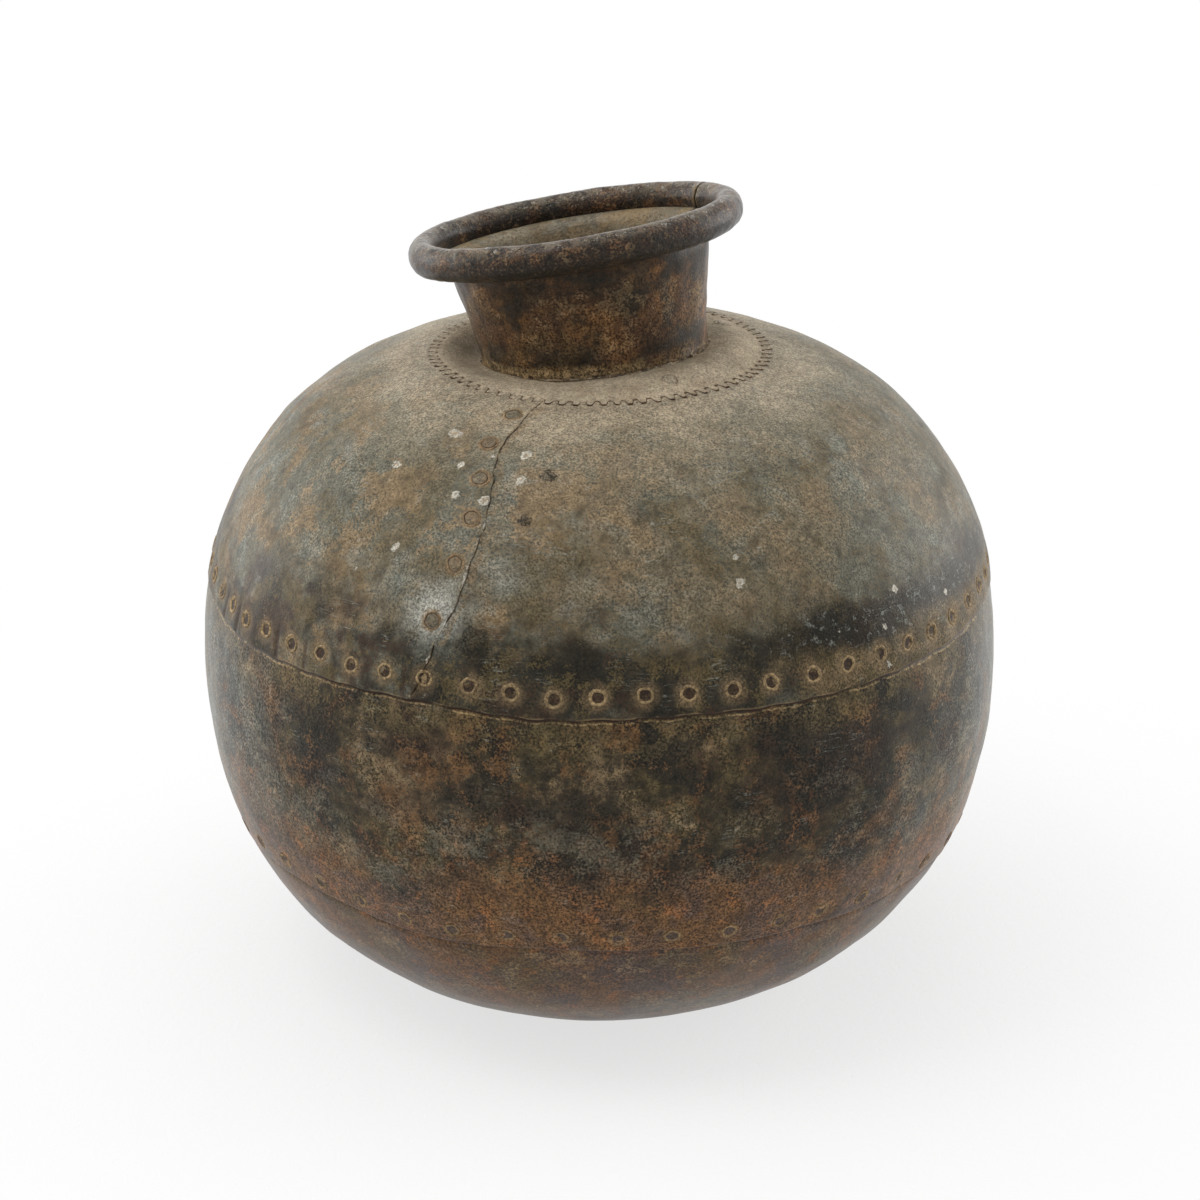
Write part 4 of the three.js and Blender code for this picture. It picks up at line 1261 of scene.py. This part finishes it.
def neck_finish(colours):
    finish = Finish("neck_rust", colours.rust, 0.6, 950.0)
    foot = finish.stored("foot")
    finish.stains((
        (colours.olive, 0.5, 40.0, 0.48, 0.58, 3.9, 0.6),
        (colours.umber, 0.65, 44.0, 0.47, 0.55, 0.4, 0.52),
        (colours.soot, 0.8, 60.0, 0.53, 0.58, 1.2, 0.46),
        (colours.tan, 0.4, 60.0, 0.55, 0.62, 2.2, 0.7),
    ))
    # Painted shadow: soot patches on the top of the sleeve, just under the rim
    shadow_under_rim = finish.step(foot, 30.0, 46.0)
    above_foot = finish.between(foot, 7.0, 10.0, 12.0, 22.0)
    finish.lay(colours.soot, 0.7, shadow_under_rim, finish.blotches(50.0, 0.44, 0.52, 3.1), roughness=0.5)
    finish.lay(colours.soot, 0.7, above_foot, finish.blotches(42.0, 0.44, 0.52, 3.7), roughness=0.5)
    crust = finish.near(foot, -5.0, 5.0, 8.5, 0.3, 60.0, 10.0)
    finish.lay(colours.ochre, 0.6, finish.facing(-40, 0.1, 0.95), crust, roughness=0.75)
    finish.strips((
        (colours.ochre, 0.4, foot, -5.0, 3.6, 5.0, 0.36, 120.0, 6.0, 0.75),
        (colours.umber, 0.6, foot, -5.0, 3.4, 4.4, 0.4, 160.0, 5.0, 0.75),
    ))
    finish.flecks(0.18, 1.95, colours.soot, 0.7)
    return finish.close(metallic=0.05, gloss=0.1, wax=0.5)


def dusty_walls(finish, colours, *masks):
    """Rust and soot over the dust inside the neck."""
    finish.stains((
        (colours.tan, 0.7, 26.0, 0.42, 0.54, 0.6, None),
        (colours.olive, 0.35, 44.0, 0.48, 0.56, 1.1, None),
        (colours.pale_patina, 0.4, 50.0, 0.52, 0.6, 3.3, None),
        (colours.ochre, 0.5, 60.0, 0.49, 0.57, 1.5, None),
        (colours.soot, 0.35, 70.0, 0.55, 0.61, 2.4, None),
    ), *masks)
    finish.lay(colours.umber, 0.4, finish.grain["Specks"], *masks)


def neck_inside_finish(colours):
    finish = Finish("neck_inside_dust", colours.khaki, 0.8, 900.0)
    dusty_walls(finish, colours)
    finish.flecks(0.75, 1.25, colours.umber, 0.2)
    return finish.close(metallic=0.0, gloss=0.16)


def rim_finish(colours):
    finish = Finish("rim_umber", colours.umber, 0.42, 900.0)
    joint, turned = finish.stored("joint"), finish.stored("turned")
    finish.stains((
        (colours.rust, 0.5, 60.0, 0.46, 0.58, 0.8, 0.5),
        (colours.soot, 0.8, 90.0, 0.49, 0.55, 0.3, 0.36),
        (colours.tan, 0.35, 320.0, 0.54, 0.62, 1.1, 0.5),
    ))
    finish.flecks(0.15, 1.9, colours.soot, 0.7)
    finish.raise_by(finish.blotches(420.0, 0.42, 0.6, 5.2), 0.3)
    # Painted highlight: pale khaki and bright flecks along the crest of the roll, as light and glints on its
    # top
    finish.stains((
        (colours.khaki, 0.4, 120.0, 0.42, 0.56, 3.0, 0.34),
        (colours.bare_and_glint, 0.75, 340.0, 0.59, 0.64, 2.2, 0.26),
    ), finish.between(turned, 0.36, 0.48, 0.58, 0.72))
    # Painted shade: soot laid on the underside of the roll
    finish.lay(colours.soot, 0.7, finish.step(turned, 0.72, 0.86), roughness=0.5)
    walls = finish.step(turned, 0.235, 0.25, 1.0, 0.0)
    finish.lay(colours.khaki, 1.0, walls, roughness=0.8)
    dusty_walls(finish, colours, walls)
    finish.lay(colours.soot, 0.9, finish.between(turned, 0.225, 0.245, 0.25, 0.285))
    filled = finish.between(turned, 0.26, 0.32, 0.44, 0.52)
    finish.lay(colours.ochre, 0.6, filled, finish.near(joint, -5.0, 0.8, 2.6, 0.3, 130.0), roughness=0.7)
    finish.lay(colours.soot, 0.85, finish.near(joint, -5.0, 0.2, 0.8, 0.3), roughness=0.7)
    return finish.close(metallic=0.08, gloss=0.12, wax=0.8)


def ring_rivet_finish(name, colours, middle, ring_colour, skirt, ring_share):
    """A rivet with a dished middle, a worn ring and a skirt that fades into the sheet."""
    finish = Finish(name, middle, 0.55, 900.0)
    ring, tone = finish.stored("ring"), finish.stored("tone")
    finish.lay(colours.olive, 0.45, finish.blotches(420.0, 0.46, 0.6, 0.2), roughness=0.6)
    finish.lay(skirt, 0.9, finish.near(ring, 2.9, 4.6, 4.9, 0.0, 260.0, 1.2), roughness=0.65)
    crown = finish.near(ring, 2.7, 3.4, 4.1, 0.22, 260.0, 1.4)
    finish.lay(ring_colour, ring_share, crown, finish.blend(0.5, 1.0, tone), roughness=0.6)
    finish.flecks(0.45, 1.5, colours.soot, 0.4)
    return finish.close(metallic=0.06, gloss=0.2)


def flush_rivet_finish(name, colours, disc_colour, ring_colour, groove_share):
    """A flush rivet: a disc in a groove, with a ring hammered round it."""
    finish = Finish(name, ring_colour, 0.55, 900.0)
    ring, tone = finish.stored("ring"), finish.stored("tone")
    disc = finish.step(ring, 3.0, 3.2, 1.0, 0.0)
    finish.lay(disc_colour, 0.9, disc, finish.blend(0.2, 0.9, tone), roughness=0.45)
    finish.lay(colours.rust, 0.4, finish.blotches(120.0, 0.48, 0.6, 0.7), roughness=0.6)
    finish.lay(colours.umber, groove_share, finish.between(ring, 3.0, 3.25, 3.4, 3.7), roughness=0.65)
    finish.flecks(0.55, 1.45, colours.soot, 0.4)
    return finish.close(metallic=0.06, gloss=0.2)


def bead_finish(colours):
    finish = Finish("foot_bead_crust", colours.dust, 0.8, 1000.0)
    finish.lay(colours.tan, 0.8, finish.blotches(100.0, 0.46, 0.56, 1.5))
    finish.lay(colours.umber, 0.8, finish.blotches(140.0, 0.5, 0.57, 0.5))
    finish.flecks(0.6, 1.3, colours.soot, 0.5)
    return finish.close(metallic=0.0, gloss=0.2)


def inside_finish(colours):
    """Dark scale, made once for all the insides."""
    if "inside_scale" in bpy.data.materials:
        return bpy.data.materials["inside_scale"]
    finish = Finish("inside_scale", colours.umber, 0.75, 500.0)
    finish.lay(colours.rust, 0.6, finish.blotches(24.0, 0.45, 0.62, 0.6))
    finish.flecks(0.7, 1.3, colours.soot, 0.6)
    return finish.close(metallic=0.0, gloss=0.3)


# The paper shines in part near the pot, and is plain white further off
PAPER_GLOW = 0.7
GLOW_FROM = 0.12
WHITE_FROM = 0.6


def paper_finish(colours):
    """Plain paper that whitens out round the pot and still takes its shadow."""
    finish = Finish("floor_paper", colours.backdrop, 0.9, 300.0)
    paper = finish.close(metallic=0.0, gloss=0.1)
    away = finish.place("ShaderNodeVectorMath", {0: finish.place_at}, operation="LENGTH").outputs["Value"]
    share = finish.product(finish.seen(), finish.step(away, GLOW_FROM, WHITE_FROM, PAPER_GLOW, 1.0))
    white = finish.place("ShaderNodeEmission", {"Color": (1, 1, 1), "Strength": 1.0})
    mixed = finish.place("ShaderNodeMixShader", {0: share, 1: finish.shader.outputs[0], 2: white.outputs[0]})
    finish.feed(finish.output.inputs["Surface"], mixed.outputs[0])
    return paper


# Stage

# The camera was fitted to the outline of the pot in the photo
CAMERA_LENS = 99.46
CAMERA_SENSOR = 36
CAMERA_PLACE = (0, -1.4853, 0.7728)
CAMERA_TILT = math.radians(68.17)
FLOOR_REACH = 6
WORLD_LIGHT = 0.4  # strength on the pot; the camera sees a plain white world
# Name, place, aim, width and power
LAMPS = (
    ("top_lamp", (-0.1, 0.2, 2.2), (0, 0, 0.2), 2.2, 18),
    ("key_lamp", (-1.0, -0.5, 2.0), (0, 0, 0.25), 0.9, 12),
    ("left_lamp", (-2.0, 0.75, 0.5), (0, 0, 0.2), 1.6, 24),
    ("right_lamp", (2.0, 0.8, 0.55), (0, 0, 0.2), 1.6, 27),
)


def add_camera(scene):
    camera = add_object("camera", bpy.data.cameras.new("camera"))
    camera.data.lens = CAMERA_LENS
    camera.data.sensor_width = CAMERA_SENSOR
    camera.location = CAMERA_PLACE
    camera.rotation_euler = (CAMERA_TILT, 0, 0)
    scene.camera = camera


def add_floor(colours):
    signs = ((-1, -1), (1, -1), (1, 1), (-1, 1))
    corners = [(x * FLOOR_REACH, y * FLOOR_REACH, 0) for x, y in signs]
    mesh = bpy.data.meshes.new("floor")
    mesh.from_pydata(corners, [], [(0, 1, 2, 3)])
    mesh.materials.append(paper_finish(colours))
    floor = add_object("floor", mesh)


def add_lamps():
    for name, place, aim, width, power in LAMPS:
        data = bpy.data.lights.new(name, "AREA")
        data.size = width
        data.energy = power
        lamp = add_object(name, data)
        lamp.location = place
        lamp.rotation_euler = (Vector(place) - Vector(aim)).to_track_quat("Z", "Y").to_euler()


def light_world(scene):
    """A white world that lights the pot less than it shows."""
    scene.world = scene.world or bpy.data.worlds.new("world")
    scene.world.use_nodes = True
    bench = NodeBench(scene.world.node_tree)
    bench.tree.nodes.clear()
    strength = bench.blend(WORLD_LIGHT, 1.0, bench.seen())
    sky = bench.place("ShaderNodeBackground", {"Color": (1, 1, 1), "Strength": strength})
    bench.place("ShaderNodeOutputWorld", {"Surface": sky.outputs["Background"]})


# Operators


def settings(context):
    return context.scene.pot_sizes, context.scene.pot_colours


class POT_OT_stage(bpy.types.Operator):
    """Sets up the floor, the lights and the camera"""

    bl_idname = "pot.stage"
    bl_label = "Stage"

    def execute(self, context):
        scene = context.scene
        scene.view_settings.view_transform = "Standard"
        add_camera(scene)
        add_floor(settings(context)[1])
        add_lamps()
        light_world(scene)
        return {"FINISHED"}


class POT_OT_shoulder_plates(bpy.types.Operator):
    """Builds the two shoulder plates, which lap over each other and over the belly band"""

    bl_idname = "pot.shoulder_plates"
    bl_label = "Shoulder plates"

    def execute(self, context):
        sizes, colours = settings(context)
        materials = [shoulder_finish(colours), inside_finish(colours)]
        for side in ("left", "right"):
            make_shoulder_plate(side, sizes, materials)
        return {"FINISHED"}


class POT_OT_belly_band(bpy.types.Operator):
    """Builds the belly band"""

    bl_idname = "pot.belly_band"
    bl_label = "Belly band"

    def execute(self, context):
        sizes, colours = settings(context)
        make_belly_band(sizes, [belly_finish(colours), inside_finish(colours)])
        return {"FINISHED"}


class POT_OT_bottom_bowl(bpy.types.Operator):
    """Builds the bottom bowl"""

    bl_idname = "pot.bottom_bowl"
    bl_label = "Bottom bowl"

    def execute(self, context):
        sizes, colours = settings(context)
        make_bottom_bowl(sizes, [bottom_finish(colours), inside_finish(colours)])
        return {"FINISHED"}


class POT_OT_neck(bpy.types.Operator):
    """Builds the neck plate, the leaning sleeve and the bead between them"""

    bl_idname = "pot.neck"
    bl_label = "Neck"

    def execute(self, context):
        sizes, colours = settings(context)
        make_neck_plate(sizes, [neck_plate_finish(colours), inside_finish(colours)])
        make_neck_sleeve(sizes, [neck_finish(colours), neck_inside_finish(colours)])
        make_foot_bead([bead_finish(colours)])
        return {"FINISHED"}


class POT_OT_rim(bpy.types.Operator):
    """Builds the rolled rim and finishes the wire inside it"""

    bl_idname = "pot.rim"
    bl_label = "Rim"

    def execute(self, context):
        sizes, colours = settings(context)
        make_rim_roll(sizes, [rim_finish(colours), inside_finish(colours)])
        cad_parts["rim_wire"].material_slots[0].material = inside_finish(colours)
        return {"FINISHED"}


class POT_OT_row_rivets(bpy.types.Operator):
    """Builds the rivet rows round the belly and the base"""

    bl_idname = "pot.row_rivets"
    bl_label = "Row rivets"

    def execute(self, context):
        sizes, colours = settings(context)
        dusty = ring_rivet_finish("dusty_rivets", colours, colours.umber, colours.ochre, colours.tan, 0.95)
        rusty = ring_rivet_finish("rusty_rivets", colours, colours.plum, colours.ochre, colours.rust, 0.6)
        make_rivets("belly_rivets", belly_rivet_places(sizes), on_sheet(shoulder_out, sizes), RING_RIVET,
                    sizes.rivet_radius, squash=0.6, seed=141, materials=[dusty])
        make_rivets("base_rivets", base_rivet_places(sizes), on_sheet(band_out, sizes), RING_RIVET,
                    sizes.rivet_radius, squash=0.3, seed=142, materials=[rusty])
        return {"FINISHED"}


class POT_OT_seam_rivets(bpy.types.Operator):
    """Builds the rivets of the side seams and the plug rivets of the neck plate"""

    bl_idname = "pot.seam_rivets"
    bl_label = "Seam rivets"

    def execute(self, context):
        sizes, colours = settings(context)
        flush = flush_rivet_finish("flush_rivets", colours, colours.patina, colours.tan, 0.85)
        plug = flush_rivet_finish("plug_rivets", colours, colours.khaki, colours.dust, 0.5)
        radius = sizes.rivet_radius * FLUSH_RADIUS
        for seam_name, seam in (("front", front_seam), ("back", back_seam)):
            azimuths, arcs = seam_rivet_places(seam)
            for number in range(len(arcs)):
                node = f"{seam_name}_seam_rivet_{number + 1}"
                place = (azimuths[number:number + 1], arcs[number:number + 1])
                make_rivets(f"{node}_head", place, on_sheet(shoulder_out, sizes), FLUSH_RIVET, radius,
                            squash=1.0, seed=150 + number, materials=[flush], replaced=[node])
        for number, (degrees, from_axis) in enumerate(PLUG_RIVETS):
            node = f"neck_plug_rivet_{number + 1}"
            place = ([math.radians(degrees)], [-from_axis])
            make_rivets(f"{node}_head", place, lambda azimuth, inward: plate_points(azimuth, -inward, sizes),
                        FLUSH_RIVET, radius, squash=1.0, seed=170 + number, materials=[plug], replaced=[node])
        return {"FINISHED"}


class POT_PT_panel(bpy.types.Panel):
    """Sizes, colours and builders of the pot"""

    bl_idname = "POT_PT_panel"
    bl_label = "Riveted water pot"
    bl_space_type = "VIEW_3D"
    bl_region_type = "UI"
    bl_category = "Pot"

    def draw(self, context):
        for group in settings(context):
            column = self.layout.column()
            for key in group.bl_rna.properties.keys():
                if key not in ("rna_type", "name"):
                    column.prop(group, key)
        for operator in OPERATORS:
            self.layout.operator(operator.bl_idname)


OPERATORS = (
    POT_OT_stage, POT_OT_shoulder_plates, POT_OT_belly_band, POT_OT_bottom_bowl, POT_OT_neck, POT_OT_rim,
    POT_OT_row_rivets, POT_OT_seam_rivets,
)
CLASSES = (PotSizes, PotColours, *OPERATORS, POT_PT_panel)


def register():
    for each in CLASSES:
        bpy.utils.register_class(each)
    bpy.types.Scene.pot_sizes = bpy.props.PointerProperty(type=PotSizes)
    bpy.types.Scene.pot_colours = bpy.props.PointerProperty(type=PotColours)


def unregister():
    del bpy.types.Scene.pot_colours
    del bpy.types.Scene.pot_sizes
    for each in reversed(CLASSES):
        bpy.utils.unregister_class(each)


def main():
    register()
    bpy.ops.pot.stage()
    bpy.ops.pot.shoulder_plates()
    bpy.ops.pot.belly_band()
    bpy.ops.pot.bottom_bowl()
    bpy.ops.pot.neck()
    bpy.ops.pot.rim()
    bpy.ops.pot.row_rivets()
    bpy.ops.pot.seam_rivets()


if __name__ == "__main__":
    main()
